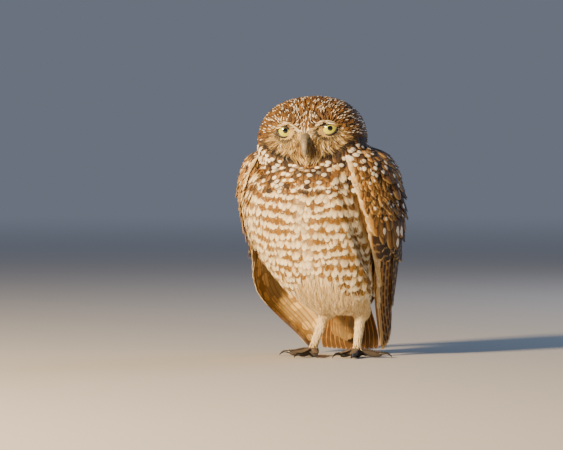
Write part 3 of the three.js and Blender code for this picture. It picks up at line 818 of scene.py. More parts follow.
def lay(roots, flow, length, rows, depth, lift, swerve=0.08):
    """Walks feathers over the outer surface from their roots. Returns centre lines and normals.
    depth: how far under the surface they start, lift: how far over it they end,
    rows: the places along each feather, swerve: how unevenly they turn aside."""
    count = len(roots)
    rows = np.asarray(rows, float)
    place, normal = nearest(roots)
    length = np.broadcast_to(length, count)
    depth = np.broadcast_to(depth, count)
    lift = np.broadcast_to(lift, count)
    turn = rng.normal(0, swerve, count)
    centres, normals = [], []
    for i, s in enumerate(rows):
        if i:
            way = flow(place)
            way = unit(way - normal * (way * normal).sum(1, keepdims=True))
            way = way + np.cross(normal, way) * turn[:, None]
            step = (length * (s - rows[i - 1]))[:, None]
            place, normal = nearest(place + way * step)
        height = mix(-depth, lift, s**0.8)
        centres.append(place + normal * height[:, None])
        normals.append(normal)
    return np.stack(centres, 1), np.stack(normals, 1)


def leaf(rows, root=0.45, widest=0.55, tip=0.25):
    """Half width along a feather, as a share of its largest: narrow root, round tip."""
    rows = np.asarray(rows, float)
    grow = root + (1 - root) * smooth(rows, 0, widest)
    round_tip = np.sqrt(np.clip(1 - ((rows - 0.7) / 0.305) ** 2, 0.0, 1))
    return np.where(rows > 0.7, np.maximum(round_tip, tip), grow)


def scatter(spacing, keep, tries):
    """Roots spread evenly over the outer surface, no nearer than the spacing at each place."""
    corners = outer_points[outer_quads]
    one_way, other_way = corners[:, 2] - corners[:, 0], corners[:, 3] - corners[:, 1]
    area = np.linalg.norm(np.cross(one_way, other_way), axis=1)
    middle = corners.mean(1)
    area = area * keep(middle)
    pick = rng.choice(len(area), tries, p=area / area.sum())
    s, t = rng.random((2, tries, 1))
    low, high = mix(corners[pick, 0], corners[pick, 1], s), mix(corners[pick, 3], corners[pick, 2], s)
    points = mix(low, high, t)
    space = spacing(points)
    cell = float(space.max())
    grid = {}
    chosen = []
    for i, point in enumerate(points):
        key = tuple((point // cell).astype(int))
        close = (grid.get((key[0] + dx, key[1] + dy, key[2] + dz), ())
                 for dx in (-1, 0, 1) for dy in (-1, 0, 1) for dz in (-1, 0, 1))
        if any(((points[j] - point) ** 2).sum() < space[i] ** 2 for group in close for j in group):
            continue
        grid.setdefault(key, []).append(i)
        chosen.append(i)
    return points[chosen]


def looks(count, mark, other, spread=0.22):
    """The three numbers of each feather, the first of which, its tone, is random."""
    tone = np.clip(rng.normal(0.5, spread, count), 0, 1)
    return side_by_side(tone, mark, other)


# %% [markdown]
# ## Breast
# Breast feathers stand in rows across the body, from wing to wing, so that their rufous bars join
# into wavy lines. Between two barred rows lies a plain one.

# %% Breast feathers
BREAST = {"first": 147.0, "last": 40.0, "pitch": 7.9, "spacing": 3.0, "length": 17.0, "width": 5.6,
          "lowest_tip": 50, "highest_tip": 156, "highest_root": 178, "right": -88, "left": 66}


def cast(angle, z):
    """Places on the outer surface, seen from straight in front of each angle."""
    a = np.radians(angle)
    way = side_by_side(np.sin(a), -np.cos(a), 0)
    centre = side_by_side(sway(z), section_at(MANTLE, z)[:, 1], z)
    outside = 110
    hits = [outer_tree.ray_cast(Vector(c + w * outside), Vector(-w)) for c, w in zip(centre, way)]
    good = np.array([h[0] is not None for h in hits])
    return np.array([tuple(h[0]) for h in hits if h[0] is not None]), good


def breast_rows():
    """Angle and height of each feather's tip, and 1 for feathers whose ends are barred."""
    angles, heights, barred = [], [], []
    count = int((BREAST["first"] - BREAST["last"]) / BREAST["pitch"])
    for row in range(count * 2 + 1):
        z_tip = BREAST["first"] - row * BREAST["pitch"] / 2
        radius = section_at(MANTLE, np.array(z_tip))[2]
        step = math.degrees(BREAST["spacing"] / radius)
        angle = np.arange(BREAST["right"] + (row % 2) * step / 2, BREAST["left"], step)
        angle = angle + rng.normal(0, step * 0.12, len(angle))
        # the bars hang like garlands from both wings to the middle of the breast
        from_middle = (angle - MIDDLE) / 42
        sag = mix(3, 13, smooth(z_tip, 108, 156)) * np.minimum(from_middle**2, 1.5)
        wave = 1.3 * np.sin(np.radians(angle) * 7 + row * 0.7)
        angles.append(angle)
        heights.append(z_tip + sag + wave + rng.normal(0, 0.75, len(angle)))
        barred.append(np.full(len(angle), 1.0 - row % 2))
    return np.concatenate(angles), np.concatenate(heights), np.concatenate(barred)


def breast():
    angle, z_tip, barred = breast_rows()
    low_middle = (z_tip < 68) & (np.abs(angle - MIDDLE) < 8 + (68 - z_tip))
    keep = (z_tip < BREAST["highest_tip"]) & (z_tip > BREAST["lowest_tip"]) & ~low_middle
    for wing in WINGS:
        keep &= angle * wing["side"] < leading_edge(wing, z_tip) + 1
    angle, z_tip, barred = angle[keep], z_tip[keep], barred[keep]
    roots, good = cast(angle, np.minimum(z_tip + BREAST["length"] * 0.93, BREAST["highest_root"]))
    barred, z_tip = barred[good], z_tip[good]
    rows = [0, 0.35, 0.6, 0.78, 0.9, 0.96, 1.0]
    count = len(roots)
    length = BREAST["length"] * rng.uniform(0.92, 1.1, count)
    turned = around(roots)
    pale = belly_whiteness(side_by_side(roots[:, 0], roots[:, 1], z_tip))
    # next to a wing the feathers fluff out over its edge
    beside_wing = np.zeros(count)
    for wing in WINGS:
        edge = leading_edge(wing, np.clip(z_tip, 40, 170))
        beside_wing += smooth(turned * wing["side"], edge - 14, edge - 2)
    lift = mix(0.5, 0.15, barred) + 2.6 * beside_wing
    lie = lay(roots, body_flow, length, rows, coat_depth(roots), lift)
    flank = smooth(np.abs(turned - MIDDLE), 2, 14)
    mark = barred * (1 - pale) * (0.7 + 0.3 * flank) * rng.uniform(0.75, 1.0, count)
    # the bars are stronger in some places than in others, and weaker on the owl's right flank
    patchy = 0.5 + 0.5 * np.sin(turned * 0.19 + z_tip * 0.11) * np.sin(z_tip * 0.23 - turned * 0.07)
    mark = np.clip(mark * (0.9 + 0.35 * patchy) * (1.2 - 0.3 * smooth(turned, -15, -50)), 0, 1)
    look = looks(count, mark, 0.15 + 0.7 * smooth(z_tip, 105, 146), 0.2)
    half = BREAST["width"] / 2 * leaf(rows, tip=0.3)[None] * rng.uniform(0.8, 1.15, count)[:, None]
    solid = plumes(lie, half, look, rows, camber=0.1, thick=0.18)
    piece("breast_feathers", solid, BARRED)
    fringe = barbs(*lie, half, look, rows, each=34, length=3.6, width=0.12, start=0.5)
    piece("breast_fringe", [fringe], BARRED)


breast()


# %% [markdown]
# ## Neck, back and flanks
# Under the face a white collar lies over a brown band with white spots, which covers the tops of
# the shoulders too. The back is brown.

# %% Neck and back
NECK_BOTTOM = 152
SHOULDER_TOP = 168


def face_edge(x):
    """Height of the dark line under the face, in the head's frame."""
    return -14.5 + 0.0095 * x**2


def below_face(local):
    """True on the head under the face's edge, where the collar's feathers grow."""
    x = local[..., 0]
    return (local[..., 1] < 2 - 0.2 * np.abs(x)) & (local[..., 2] < face_edge(x) - 1.0)


def under_wing(points, margin):
    """True where a wing covers the body, further in from its edges than the margin in degrees."""
    z = points[:, 2]
    angle = around(points)
    inside = np.zeros(len(points), bool)
    for wing in WINGS:
        turned = angle * wing["side"]
        covered = (turned > leading_edge(wing, z) + margin) & (turned < trailing_edge(z) - margin)
        inside |= covered & (z > 60) & (z < 178)
    return inside


def on_neck(points):
    z = points[:, 2]
    on_head = (head_size(points) < 1.06) & ~below_face(to_head(points))
    below_shoulder = under_wing(points, 22) & (z < SHOULDER_TOP)
    return ~on_head & (z > NECK_BOTTOM) & ~below_shoulder


def neck_spacing(points):
    """Feathers stand closer on the head's base and on the shoulders' tops."""
    return mix(4.3, 3.1, (head_size(points) < 1.1) | (points[:, 2] > SHOULDER_TOP))


def neck():
    roots = scatter(neck_spacing, on_neck, 22000)
    count = len(roots)
    rows = [0, 0.35, 0.6, 0.78, 0.9, 1.0]
    local = to_head(roots)
    aside = np.abs(local[:, 0])
    front = smooth(local[:, 1], 4, -12)
    # the white collar runs under the face's edge, broken under the bill
    below = face_edge(local[:, 0]) - local[:, 2]
    collar = smooth(below, -1, 1) * smooth(below, 9, 5) * front * smooth(aside, 7, 15)
    high = smooth(below, 8, 0) * front
    rear = smooth(np.abs(around(roots)), 55, 90)
    length = mix(13.0, 8.0, high) + 5 * rear
    spot = rng.uniform(0, 1, count) < mix(0.25, 0.36, front)
    lift = mix(1.5, 1.0, high) + 0.3 * spot + 1.6 * rear
    shoulder = rear * smooth(roots[:, 2], 158, SHOULDER_TOP)
    depth = mix(coat_depth(roots), 1.2, np.maximum(high, shoulder))
    lie = lay(roots, body_flow, length, rows, depth, lift)
    whitish = collar * (rng.uniform(0, 1, count) < 0.75)
    under_bill = high * smooth(aside, 9, 4)
    mark = np.clip(spot * rng.uniform(0.85, 1, count) + whitish, 0, 1) * (1 - under_bill)
    spot_size = rng.uniform(0.45, 0.9, count) * (1 - 0.6 * rear) + 0.4 * whitish
    look = looks(count, mark, spot_size, 0.3)
    look[:, 0] += 0.5 * under_bill - 0.22 * front
    half = mix(4.3, 3.1, high)[:, None] * leaf(rows, 0.6)[None]
    fringe = {"each": 7, "length": 1.5, "width": 0.2, "start": 0.6}
    piece("neck_feathers", plumes(lie, half, look, rows, fringe), SPOTTED)


def on_back(points):
    angle = np.abs(around(points))
    z = points[:, 2]
    outside = (head_size(points) > 1.07) & ~under_wing(points, 5)
    return outside & (angle > 60) & (z < 150) & (z > 40)


def back():
    roots = scatter(lambda p: np.full(len(p), 4.6), on_back, 6000)
    count = len(roots)
    rows = [0, 0.4, 0.65, 0.82, 0.93, 1.0]
    lie = lay(roots, body_flow, 17.0, rows, coat_depth(roots), 0.3)
    mark = (rng.uniform(0, 1, count) < 0.35) * 0.9
    look = looks(count, mark, 0.3)
    half = np.full((count, 1), 4.8) * leaf(rows)[None]
    fringe = {"each": 6, "length": 2.0, "width": 0.2, "start": 0.6}
    piece("back_feathers", plumes(lie, half, look, rows, fringe), SPOTTED)


neck()
back()


# %% [markdown]
# ## Head
# The crown is rufous brown with white streaks that run back from the bill. The face is cream with
# brown lines round the eyes, browner beside the bill, with longer golden bristles under it, and
# ends in a dark line above the collar. Pale brows stand out over the eyes.

# %% Head feathers
def brow_line(x):
    """Height of the lower edge of the brown crown, in the head's frame."""
    over_eye = np.exp(-(((np.abs(x) - 19) / 10) ** 2))
    return 8.0 + 6.6 * over_eye - 0.0035 * x**2


def is_face(local):
    x = np.abs(local[..., 0])
    front = local[..., 1] < -6 - 0.28 * x
    return front & (local[..., 2] < brow_line(x)) & (local[..., 2] > face_edge(x) - 1)


def near_eye(local):
    """Distance from the nearer eye's opening, in eye radii."""
    away = [np.linalg.norm((local - (eye + [0, -2, 0])) / [1, 1, 0.82], axis=-1) for eye in EYES]
    return np.minimum(*away) / EYE["r"]


def on_crown(points):
    local = to_head(points)
    outside = ~is_face(local) & ~below_face(local) & (near_eye(local) > 0.9)
    return (head_size(points) < 1.07) & outside


def on_face(points):
    local = to_head(points)
    return (head_size(points) < 1.1) & is_face(local) & (near_eye(local) > 0.98)


def crown():
    roots = scatter(lambda p: mix(2.4, 1.6, smooth(-to_head(p)[:, 1], 0, 26)), on_crown, 30000)
    count = len(roots)
    rows = [0, 0.35, 0.62, 0.84, 1.0]
    local = to_head(roots)
    forehead = smooth(-local[:, 1], 5, 26)
    length = mix(8.0, 5.4, forehead) * rng.uniform(0.9, 1.12, count)
    depth = mix(1.8, 1.0, forehead)
    lie = lay(roots, head_flow, length, rows, depth, lift=0.35, swerve=0.12)
    # on the forehead white streaks stand in every other place round the bill's root
    turn = np.arctan2(local[:, 0], local[:, 2] - BILL_ROOT[2])
    comb = 0.5 + 0.5 * np.sin(turn * 26 + np.sin(turn * 7) * 1.5)
    streaked = rng.uniform(0, 1, count) < mix(0.30, 0.25 + 0.4 * comb, forehead)
    mark = streaked * rng.uniform(0.75, 1.0, count)
    streak = mix(rng.uniform(0.2, 0.7, count), rng.uniform(0.3, 0.8, count), forehead)
    look = looks(count, mark, streak, 0.28)
    width = mix(1.7, 0.85, forehead)[:, None] * rng.uniform(0.85, 1.15, (count, 1))
    half = width * leaf(rows, 0.5, 0.5, 0.3)[None]
    fringe = {"each": 4, "length": 0.9, "width": 0.13, "start": 0.5}
    parts = plumes(lie, half, look, rows, fringe, camber=0.3, thick=0.22)
    piece("crown_feathers", parts, STREAKED)


def face_tones(local):
    """How cream and how dark the face is at places in the head's frame, and where the bristles
    beside and under the bill grow."""
    x, z = np.abs(local[:, 0]), local[:, 2]
    from_eye = near_eye(local)
    spokes = np.arctan2(z - EYE["z"], x - EYE["x"]) * 17
    lines = 0.5 + 0.5 * np.sin(spokes + rng.normal(0, 0.6, len(x)))
    cream = 0.70 - 0.5 * lines * smooth(from_eye, 1.1, 1.6) * smooth(x, 5, 12)
    # a cream V from the bill's root over both eyes
    above = z - (6.5 + 0.40 * x)
    v_mark = smooth(above, -2.5, 1.0) * smooth(x, 27, 18)
    cream = mix(cream, 1.0, v_mark * 0.95)
    bridge = smooth(x, 11, 5) * smooth(z, 4, 8)
    cream = mix(cream, 0.85, bridge)
    beside_bill = np.exp(-(((x - 6) / 4.2) ** 2)) * smooth(z, 6, 2) * smooth(z, -13, -8)
    cream = mix(cream, 0.08, beside_bill * 0.9)
    # long golden bristles that close in under the bill
    whisker = smooth(z + 0.33 * x, -6, -11)
    cream = mix(cream, 0.66, whisker * smooth(x, 22, 14))
    # the dark line of the face's edge, the dark rim of each eye, and the shade over it
    rim = np.exp(-(((z - face_edge(x) - 0.5) / 2.4) ** 2)) * smooth(x, 9, 16) * smooth(x, 42, 36)
    side = smooth(x, 26, 36)
    cream = cream - 0.35 * side
    lid = smooth(from_eye, 1.4, 1.1)
    above_eye = smooth(z - EYE["z"], 1, 4) * smooth(from_eye, 2.0, 1.5) * smooth(x, 11, 14)
    dark = np.clip(rim * 1.1 + lid * 0.85 + above_eye * 0.8, 0, 1)
    return cream, dark, beside_bill, whisker


def face():
    roots = scatter(lambda p: mix(1.3, 1.0, smooth(near_eye(to_head(p)), 2.4, 1.2)), on_face, 42000)
    count = len(roots)
    rows = [0, 0.4, 0.75, 1.0]
    local = to_head(roots)
    cream, dark, beside_bill, whisker = face_tones(local)
    length = mix(2.8, 5.2, smooth(near_eye(local), 1.0, 2.2)) * rng.uniform(0.85, 1.2, count)
    length = length + 2.4 * whisker + 1.0 * beside_bill
    # the bristles under the bill stand out like a beard
    chin = np.exp(-((local[:, 0] / 9) ** 2)) * smooth(local[:, 2], 0, -7)
    length = length + 1.5 * chin
    lift = 0.4 + 0.5 * whisker + 0.4 * beside_bill + 3.2 * chin * rng.uniform(0.2, 1.2, count)
    lie = lay(roots, head_flow, length, rows, 0.6, lift, 0.14)
    cream = np.clip(cream + rng.normal(0, 0.11, count), 0, 1)
    look = looks(count, cream, dark, 0.25)
    half = 0.5 * rng.uniform(0.7, 1.25, (count, 1)) * np.array([0.8, 1.0, 0.7, 0.12])[None]
    parts = plumes(lie, half, look, rows, columns=3, camber=0.2, thick=0.22)
    piece("face_feathers", parts, FACE)


def brows():
    """Cream feathers that stand out over each eye and shade it."""
    count = 60
    rows = [0, 0.35, 0.7, 1.0]
    for name, side in (("left", 1), ("right", -1)):
        # t runs from the bill's root to the outer end
        t = rng.uniform(0, 1, count)
        x = mix(2.5, 24, t)
        rise = mix(-1.5, 6.6, smooth(t, 0, 0.5)) - 2.0 * smooth(t, 0.65, 1)
        z = EYE["z"] + rise + rng.uniform(0, 1.6, count)
        roots = from_head(side_by_side(side * x, -38.0, z))
        way = side_by_side(side, 0.3, mix(0.45, -0.35, t)) @ HEAD_ROTATION.T
        length = mix(5.0, 7.0, t) * rng.uniform(0.8, 1.2, count)
        lift = mix(0.8, 1.7, smooth(t, 0.1, 0.5))
        lie = lay(roots, lambda p: way, length, rows, 0.4, lift, 0.1)
        cream = np.clip(rng.normal(0.72, 0.26, count) - 0.4 * smooth(t, 0.7, 1), 0, 1)
        dark = 0.4 * (rng.uniform(0, 1, count) < 0.2)
        look = looks(count, cream, dark, 0.25)
        half = 0.42 * rng.uniform(0.7, 1.2, (count, 1)) * np.array([0.8, 1.0, 0.8, 0.15])[None]
        piece("brow_" + name, plumes(lie, half, look, rows, columns=3, camber=0.2), FACE)


crown()
face()
brows()


# %% [markdown]
# ## Eyes
# The eyeball's colour comes from the angle to its line of sight: black pupil, yellow iris with
# fine spokes, dark rim. Each lid is a thin dark shell over the ball with an almond opening.

# %% Eyes
# The photograph's view of the owl: degrees towards its left side and up, mm to the camera, and
# mm in a pixel
VIEW = {"azimuth": 20.0, "elevation": 1.2, "distance": 3000.0, "scale": 0.86}
# Half sizes and place of the opening between the lids, and how it slants up outwards
LIDS = {"half_width": 6.5, "up": 3.3, "down": 4.3, "low": -0.1, "slant": 0.18}
# Rings of a lid from the opening outwards: its growth, and height over the eyeball
LID_RINGS = ((1.0, -0.5), (1.0, 0.10), (1.03, 0.42), (1.10, 0.62), (1.22, 0.7),
             (1.42, 0.6), (1.62, 0.35), (1.62, -0.4))


def camera_way():
    """From the owl towards the camera, which is where it looks."""
    a, e = math.radians(VIEW["azimuth"]), math.radians(VIEW["elevation"])
    return np.array([math.sin(a) * math.cos(e), -math.cos(a) * math.cos(e), math.sin(e)])


def eye_material(name, centre, sight):
    """Colours by the angle from the line of sight, in degrees."""
    pupil, rim = 16.5, 40
    sheet = Sheet(name, roughness=0.12)
    place = sheet.node("ShaderNodeTexCoord", output="Object")
    inputs = {0: place, 1: tuple(centre)}
    local = sheet.node("ShaderNodeVectorMath", {"operation": "SUBTRACT"}, inputs)
    way = sheet.node("ShaderNodeVectorMath", {"operation": "NORMALIZE"}, {0: local})
    inputs = {0: way, 1: tuple(sight)}
    along = sheet.node("ShaderNodeVectorMath", {"operation": "DOT_PRODUCT"}, inputs, output="Value")
    angle = along.math("MINIMUM", 1).math("ARCCOSINE") * (180 / math.pi)
    spokes = sheet.noise(900, 4)
    iris = sheet.blend(angle.smooth(18, rim), (0.74, 0.70, 0.0), (0.86, 0.76, 0.01))
    iris = sheet.blend(spokes.smooth(0.35, 0.7) * 0.35, iris, (0.52, 0.48, 0.0))
    iris = sheet.blend(angle.smooth(rim, 47), iris, (0.02, 0.018, 0.01))
    colour = sheet.blend(angle.smooth(pupil, 14.8), iris, (0.004, 0.004, 0.005))
    sheet.shader.inputs["Coat Weight"].default_value = 1.0
    sheet.shader.inputs["Coat Roughness"].default_value = 0.03
    return sheet.finish(color=colour)


def ball(name, centre, radius, rows=48, columns=72):
    theta = np.linspace(0, math.pi, rows + 1)[1:-1, None]
    phi = np.arange(columns) * 2 * math.pi / columns
    ring = side_by_side(np.sin(theta) * np.cos(phi), np.sin(theta) * np.sin(phi), np.cos(theta))
    points = np.concatenate([[[0, 0, 1.0]], ring.reshape(-1, 3), [[0, 0, -1.0]]]) * radius + centre
    index = 1 + np.arange((rows - 1) * columns).reshape(rows - 1, columns)
    quads = ring_quads(index).reshape(-1)
    top = side_by_side(0, index[0], np.roll(index[0], -1)).reshape(-1)
    end = side_by_side(len(points) - 1, np.roll(index[-1], -1), index[-1]).reshape(-1)
    sizes = np.concatenate([np.full(len(quads) // 4, 4), np.full(columns * 2, 3)])
    return mesh_of(name, points, np.concatenate([quads, top, end]), sizes)


def lid(side):
    """A shell round the eye's opening: rings from the opening's edge out to under the face."""
    turns = np.arange(72) * 2 * math.pi / 72
    rise = np.sin(turns)
    x = LIDS["half_width"] * np.cos(turns)
    reach = np.where(rise > 0, LIDS["up"], LIDS["down"])
    y = LIDS["low"] + reach * rise * (0.9 + 0.1 * np.abs(rise)) + LIDS["slant"] * side * x
    rings = []
    for grow, height in LID_RINGS:
        flat = np.stack([x * grow, y * grow], 1)
        far = np.hypot(flat[:, 0], flat[:, 1])
        # never more than about 83 degrees round the eyeball
        angle = np.minimum(far / EYE["r"], 1.45)
        aside = np.sin(angle)
        out = side_by_side(aside * flat[:, 0] / far, -np.cos(angle), aside * flat[:, 1] / far)
        rings.append(out * (EYE["r"] + height))
    rings = np.stack(rings)
    spin = math.radians(side * EYE["out"])
    c, s = math.cos(spin), math.sin(spin)
    turn = np.array([[c, -s, 0], [s, c, 0], [0, 0, 1]])
    points = from_head(rings.reshape(-1, 3) @ turn.T + [side * EYE["x"], EYE["y"], EYE["z"]])
    count, width = rings.shape[:2]
    index = np.arange(count * width).reshape(count, width)
    quads = ring_quads(np.concatenate([index, index[:1]]))[..., [0, 3, 2, 1]]
    return points, quads.reshape(-1), np.full(count * width, 4)


def eyes():
    colours = (0.018, 0.014, 0.012), (0.06, 0.045, 0.035)
    dark = grained_material("eyelid", 0.45, 1500, 2, colours, 0.3, 0.0002)
    for name, side in (("left", 1), ("right", -1)):
        centre = from_head([side * EYE["x"], EYE["y"], EYE["z"]])
        # the two lines of sight part a little
        sight = unit(camera_way() + from_head(np.array([side * 0.10, 0, 0.0])) - HEAD_CENTRE)
        mesh = ball("eye_" + name, centre, EYE["r"])
        iris = eye_material("iris_" + name, to_world(centre), sight)
        made = new_object("eye_" + name + "_ball", mesh, iris)
        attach(made, "root")
        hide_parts("eye_" + name)
        points, faces, sizes = lid(side)
        shell = new_object("eyelid_" + name, mesh_of("eyelid_" + name, points, faces, sizes), dark)
        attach(shell, "root")


eyes()


# %% [markdown]
# ## Bill and claws
# Both are horn: a tube whose oval ring shrinks along a curve.

# %% Bill and claws
def curve_through(points, steps):
    """A smooth run of places through a few points."""
    points = np.asarray(points, float)
    t = np.linspace(0, len(points) - 1, steps)
    i = np.clip(t.astype(int), 0, len(points) - 2)
    u = (t - i)[:, None]
    padded = np.concatenate([[2 * points[0] - points[1]], points, [2 * points[-1] - points[-2]]])
    p0, p1, p2, p3 = (padded[i + k] for k in range(4))
    return 0.5 * (2 * p1 + (p2 - p0) * u + (2 * p0 - 5 * p1 + 4 * p2 - p3) * u**2
                  + (3 * p1 - p0 - 3 * p2 + p3) * u**3)


def horn(path, half, depth, up, sides=20):
    """A closed body of oval rings along a path: their half sizes aside and upwards."""
    along = unit(np.gradient(path, axis=0))
    side = unit(np.cross(along, up))
    over = np.cross(side, along)
    a = np.arange(sides) * 2 * math.pi / sides
    ring = (path[:, None] + side[:, None] * (half[:, None] * np.cos(a))[..., None]
            + over[:, None] * (depth[:, None] * np.sin(a))[..., None])
    count = len(path)
    index = np.arange(count * sides).reshape(count, sides)
    quads = ring_quads(index)[..., [0, 3, 2, 1]].reshape(-1)
    caps = np.concatenate([index[0, ::-1], index[-1]])
    sizes = np.concatenate([np.full(len(quads) // 4, 4), [sides, sides]])
    return ring.reshape(-1, 3), np.concatenate([quads, caps]), sizes


def bill_material():
    sheet = Sheet("bill", roughness=0.42)
    grain = sheet.noise(500, 4, (1, 1, 3))
    height = sheet.parts(sheet.node("ShaderNodeTexCoord", output="Object"))[2]
    low = float(to_world(from_head([0, -44, -13]))[2])
    high = float(to_world(from_head([0, -38, 7]))[2])
    colour = sheet.blend(height.smooth(low, high), (0.42, 0.34, 0.20), (0.22, 0.17, 0.10))
    colour = sheet.blend(grain.smooth(0.4, 0.7) * 0.7, colour, (0.13, 0.10, 0.06))
    return sheet.finish(color=colour, normal=sheet.bump(grain, 0.2, 0.0003))


# Each half's curve in the head's frame, half width and half depth at its root, and how it tapers
BILL = {
    "bill_upper": {"curve": [[0, -30, 3.5], [0, -36.5, 4.0], [0, -41.9, 1.6], [0, -45.1, -3.2],
                             [0, -45.9, -8.5], [0, -44.2, -13.4]],
                   "steps": 30, "half": 3.0, "depth": 4.1, "power": 2.3, "blunt": 0.006,
                   "flatter": 0.25},
    "bill_lower": {"curve": [[0, -31, -2], [0, -37.4, -4], [0, -41.2, -7.4], [0, -41.8, -10.2]],
                   "steps": 14, "half": 2.6, "depth": 2.0, "power": 2, "blunt": 0.02, "flatter": 0},
}


def bill():
    horny = bill_material()
    for name, jaw in BILL.items():
        path = curve_through(jaw["curve"], jaw["steps"])
        t = np.linspace(0, 1, jaw["steps"])
        taper = np.sqrt(np.maximum(1 - t ** jaw["power"], jaw["blunt"]))
        depth = jaw["depth"] * taper * (1 - jaw["flatter"] * t)
        points, faces, sizes = horn(path, jaw["half"] * taper, depth, np.array([1.0, 0, 0]))
        mesh = mesh_of(name + "_horn", from_head(points), faces, sizes)
        made = new_object(name + "_horn", mesh, horny)
        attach(made, "root")
        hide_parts(name)


bill()


# %% [markdown]
# ## Wings
# The folded wings' feathers lie over the mantle in tiers: small coverts at the shoulder, scapulars
# over the back, median and greater coverts, then secondaries, tertials and the long primaries.
# Each feather runs from a root to a tip, given by angle, height and distance out.

# %% Wings
def mantle_feathers(wing, root, tip, rows, tilt=0.05):
    """Centre lines and normals of feathers over the mantle. root, tip: rows of angle, height, out."""
    place = mix(root[:, None], tip[:, None], np.asarray(rows)[None, :, None])
    angle, z, out = np.moveaxis(place, -1, 0)
    centre = on_mantle(wing, angle, z, out)
    across = on_mantle(wing, angle + 1, z, out) - on_mantle(wing, angle - 1, z, out)
    down = on_mantle(wing, angle, z - 1, out) - on_mantle(wing, angle, z + 1, out)
    normal = unit(np.cross(across, down)) * -wing["side"]
    # each vane tips a little, so that its front edge lies over its neighbour
    along = unit(np.gradient(centre, axis=1))
    side = unit(np.cross(normal, along))
    return centre, unit(normal + side * tilt * wing["side"])


def wing_tone_and_painted_shade(wing, tip):
    """The wing is golden along its leading edge and dark brown further back: partly the plumage's own
    colours, partly painted light on the front and painted shade further back, where the wing turns away
    from the light.
    """
    behind = tip[:, 0] - leading_edge(wing, tip[:, 1])
    return mix(0.3, -0.35, smooth(behind, 12, 42))


def covert_tier(wing, count, z_root, z_tip, out, width, look_of, start=3, ragged=1.0):
    """One row of coverts from the leading edge to the trailing edge. z_root, z_tip: heights in
    front and behind, out: how far over the mantle roots and tips lie, start: angle from the
    leading edge to the first tip, ragged: how uneven the tips' heights are."""
    t = np.linspace(0, 1, count)
    z_root = mix(*z_root, t)
    z_tip = mix(*z_tip, t) + rng.normal(0, ragged, count)
    first_root = leading_edge(wing, z_root) + start + 8
    first_tip = leading_edge(wing, z_tip) + start
    last_root, last_tip = trailing_edge(z_root) - 3, trailing_edge(z_tip) + 2
    root = side_by_side(mix(first_root, last_root, t), z_root, out[0])
    tip_angle = mix(first_tip, last_tip, t) + rng.normal(0, 1.2, count)
    tip = side_by_side(tip_angle, z_tip, out[1] + rng.uniform(-0.2, 1.3, count))
    rows = np.concatenate([np.linspace(0, 0.7, 4), [0.8, 0.89, 0.96, 1.0]])
    half = width / 2 * leaf(rows, 0.5, 0.4, 0.22)[None] * rng.uniform(0.92, 1.08, (count, 1))
    lie = mantle_feathers(wing, root, tip, rows)
    look = look_of(count)
    # golden near the leading edge and darker behind it: partly the plumage's own colour, partly painted
    # light and painted shade
    look[:, 0] += wing_tone_and_painted_shade(wing, tip)
    fringe = {"each": 6, "length": 1.4, "width": 0.2, "start": 0.7}
    return plumes(lie, half, look, rows, fringe, columns=7, camber=0.2, thick=0.3)


def spots(chance, smallest, largest, spread=0.25):
    """Makes looks of brown feathers, some of which have a white spot."""
    def look_of(count):
        spotted = rng.uniform(0, 1, count) < chance
        return looks(count, spotted * 1.0, rng.uniform(smallest, largest, count), spread)

    return look_of


def coverts(wing):
    parts = []
    # lesser coverts and the shoulder: many small feathers in close rows
    for i in range(11):
        z = 172 - i * 4.0
        count = int(mix(24, 34, min(i / 6, 1)))
        parts += covert_tier(wing, count, (z, z - 1), (z - 13, z - 15), (0.6, 3.6 + 0.15 * i), 7.2,
                             spots(0.18, 0.1, 0.4), start=2, ragged=1.9)
    # two rows of median coverts
    parts += covert_tier(wing, 15, (136, 138), (112, 106), (2.0, 5.6), 11.5,
                         spots(0.35, 0.1, 0.5), ragged=4.0)
    parts += covert_tier(wing, 15, (128, 130), (101, 95), (2.0, 5.9), 11.5,
                         spots(0.3, 0.1, 0.4), ragged=4.5)
    # greater coverts, barred like the flight feathers
    greater = covert_tier(wing, 15, (118, 120), (86, 72), (1.8, 5.0), 11.5,
                          lambda n: looks(n, rng.uniform(0.42, 0.56, n), 0.0, 0.25), ragged=2.5)
    piece("greater_coverts_" + wing["name"], greater, FLIGHT)
    piece("coverts_" + wing["name"], parts, SPOTTED)


def edge_coverts(wing):
    """Pale small feathers along the wing's leading edge, and long pale quills below them."""
    count = 120
    z = np.linspace(176, 60, count)
    root = side_by_side(leading_edge(wing, z) + rng.uniform(0, 3.5, count), z, 0.8)
    z_tip = z - mix(9, 17, smooth(z, 130, 70)) * rng.uniform(0.8, 1.2, count)
    tip_angle = leading_edge(wing, z_tip) + rng.normal(0.5, 1.1, count)
    tip = side_by_side(tip_angle, z_tip, rng.uniform(2.4, 3.8, count))
    rows = np.array([0, 0.3, 0.55, 0.75, 0.88, 0.96, 1.0])
    half = mix(2.2, 1.3, smooth(z, 120, 70))[:, None] * leaf(rows)[None]
    lie = mantle_feathers(wing, root, tip, rows)
    look = looks(count, rng.uniform(0, 0.8, count), rng.uniform(0, 0.6, count) ** 2, 0.25)
    fringe = {"each": 8, "length": 1.8, "width": 0.15, "start": 0.5}
    parts = plumes(lie, half, look, rows, fringe, camber=0.15)
    # three quills lie along the outermost primary, each some degrees behind the leading edge
    behind = np.array([0.6, 2.3, 4.2])
    top, bottom = 70.0, 9.0
    root = side_by_side(leading_edge(wing, top) + behind, top + 4, 2.2)
    tip = side_by_side(leading_edge(wing, bottom) + behind, bottom, 2.4)
    rows = np.linspace(0, 1, 24)
    half = np.full((len(behind), 1), 0.55) * leaf(rows, 0.8, 0.1, 0.3)[None]
    lie = mantle_feathers(wing, root, tip, rows)
    look = looks(len(behind), 0.3, [0.1, 0.6, 0.3], 0.05)
    parts += plumes(lie, half, look, rows, camber=0.1, thick=0.5)
    piece("edge_coverts_" + wing["name"], parts, DOWN)


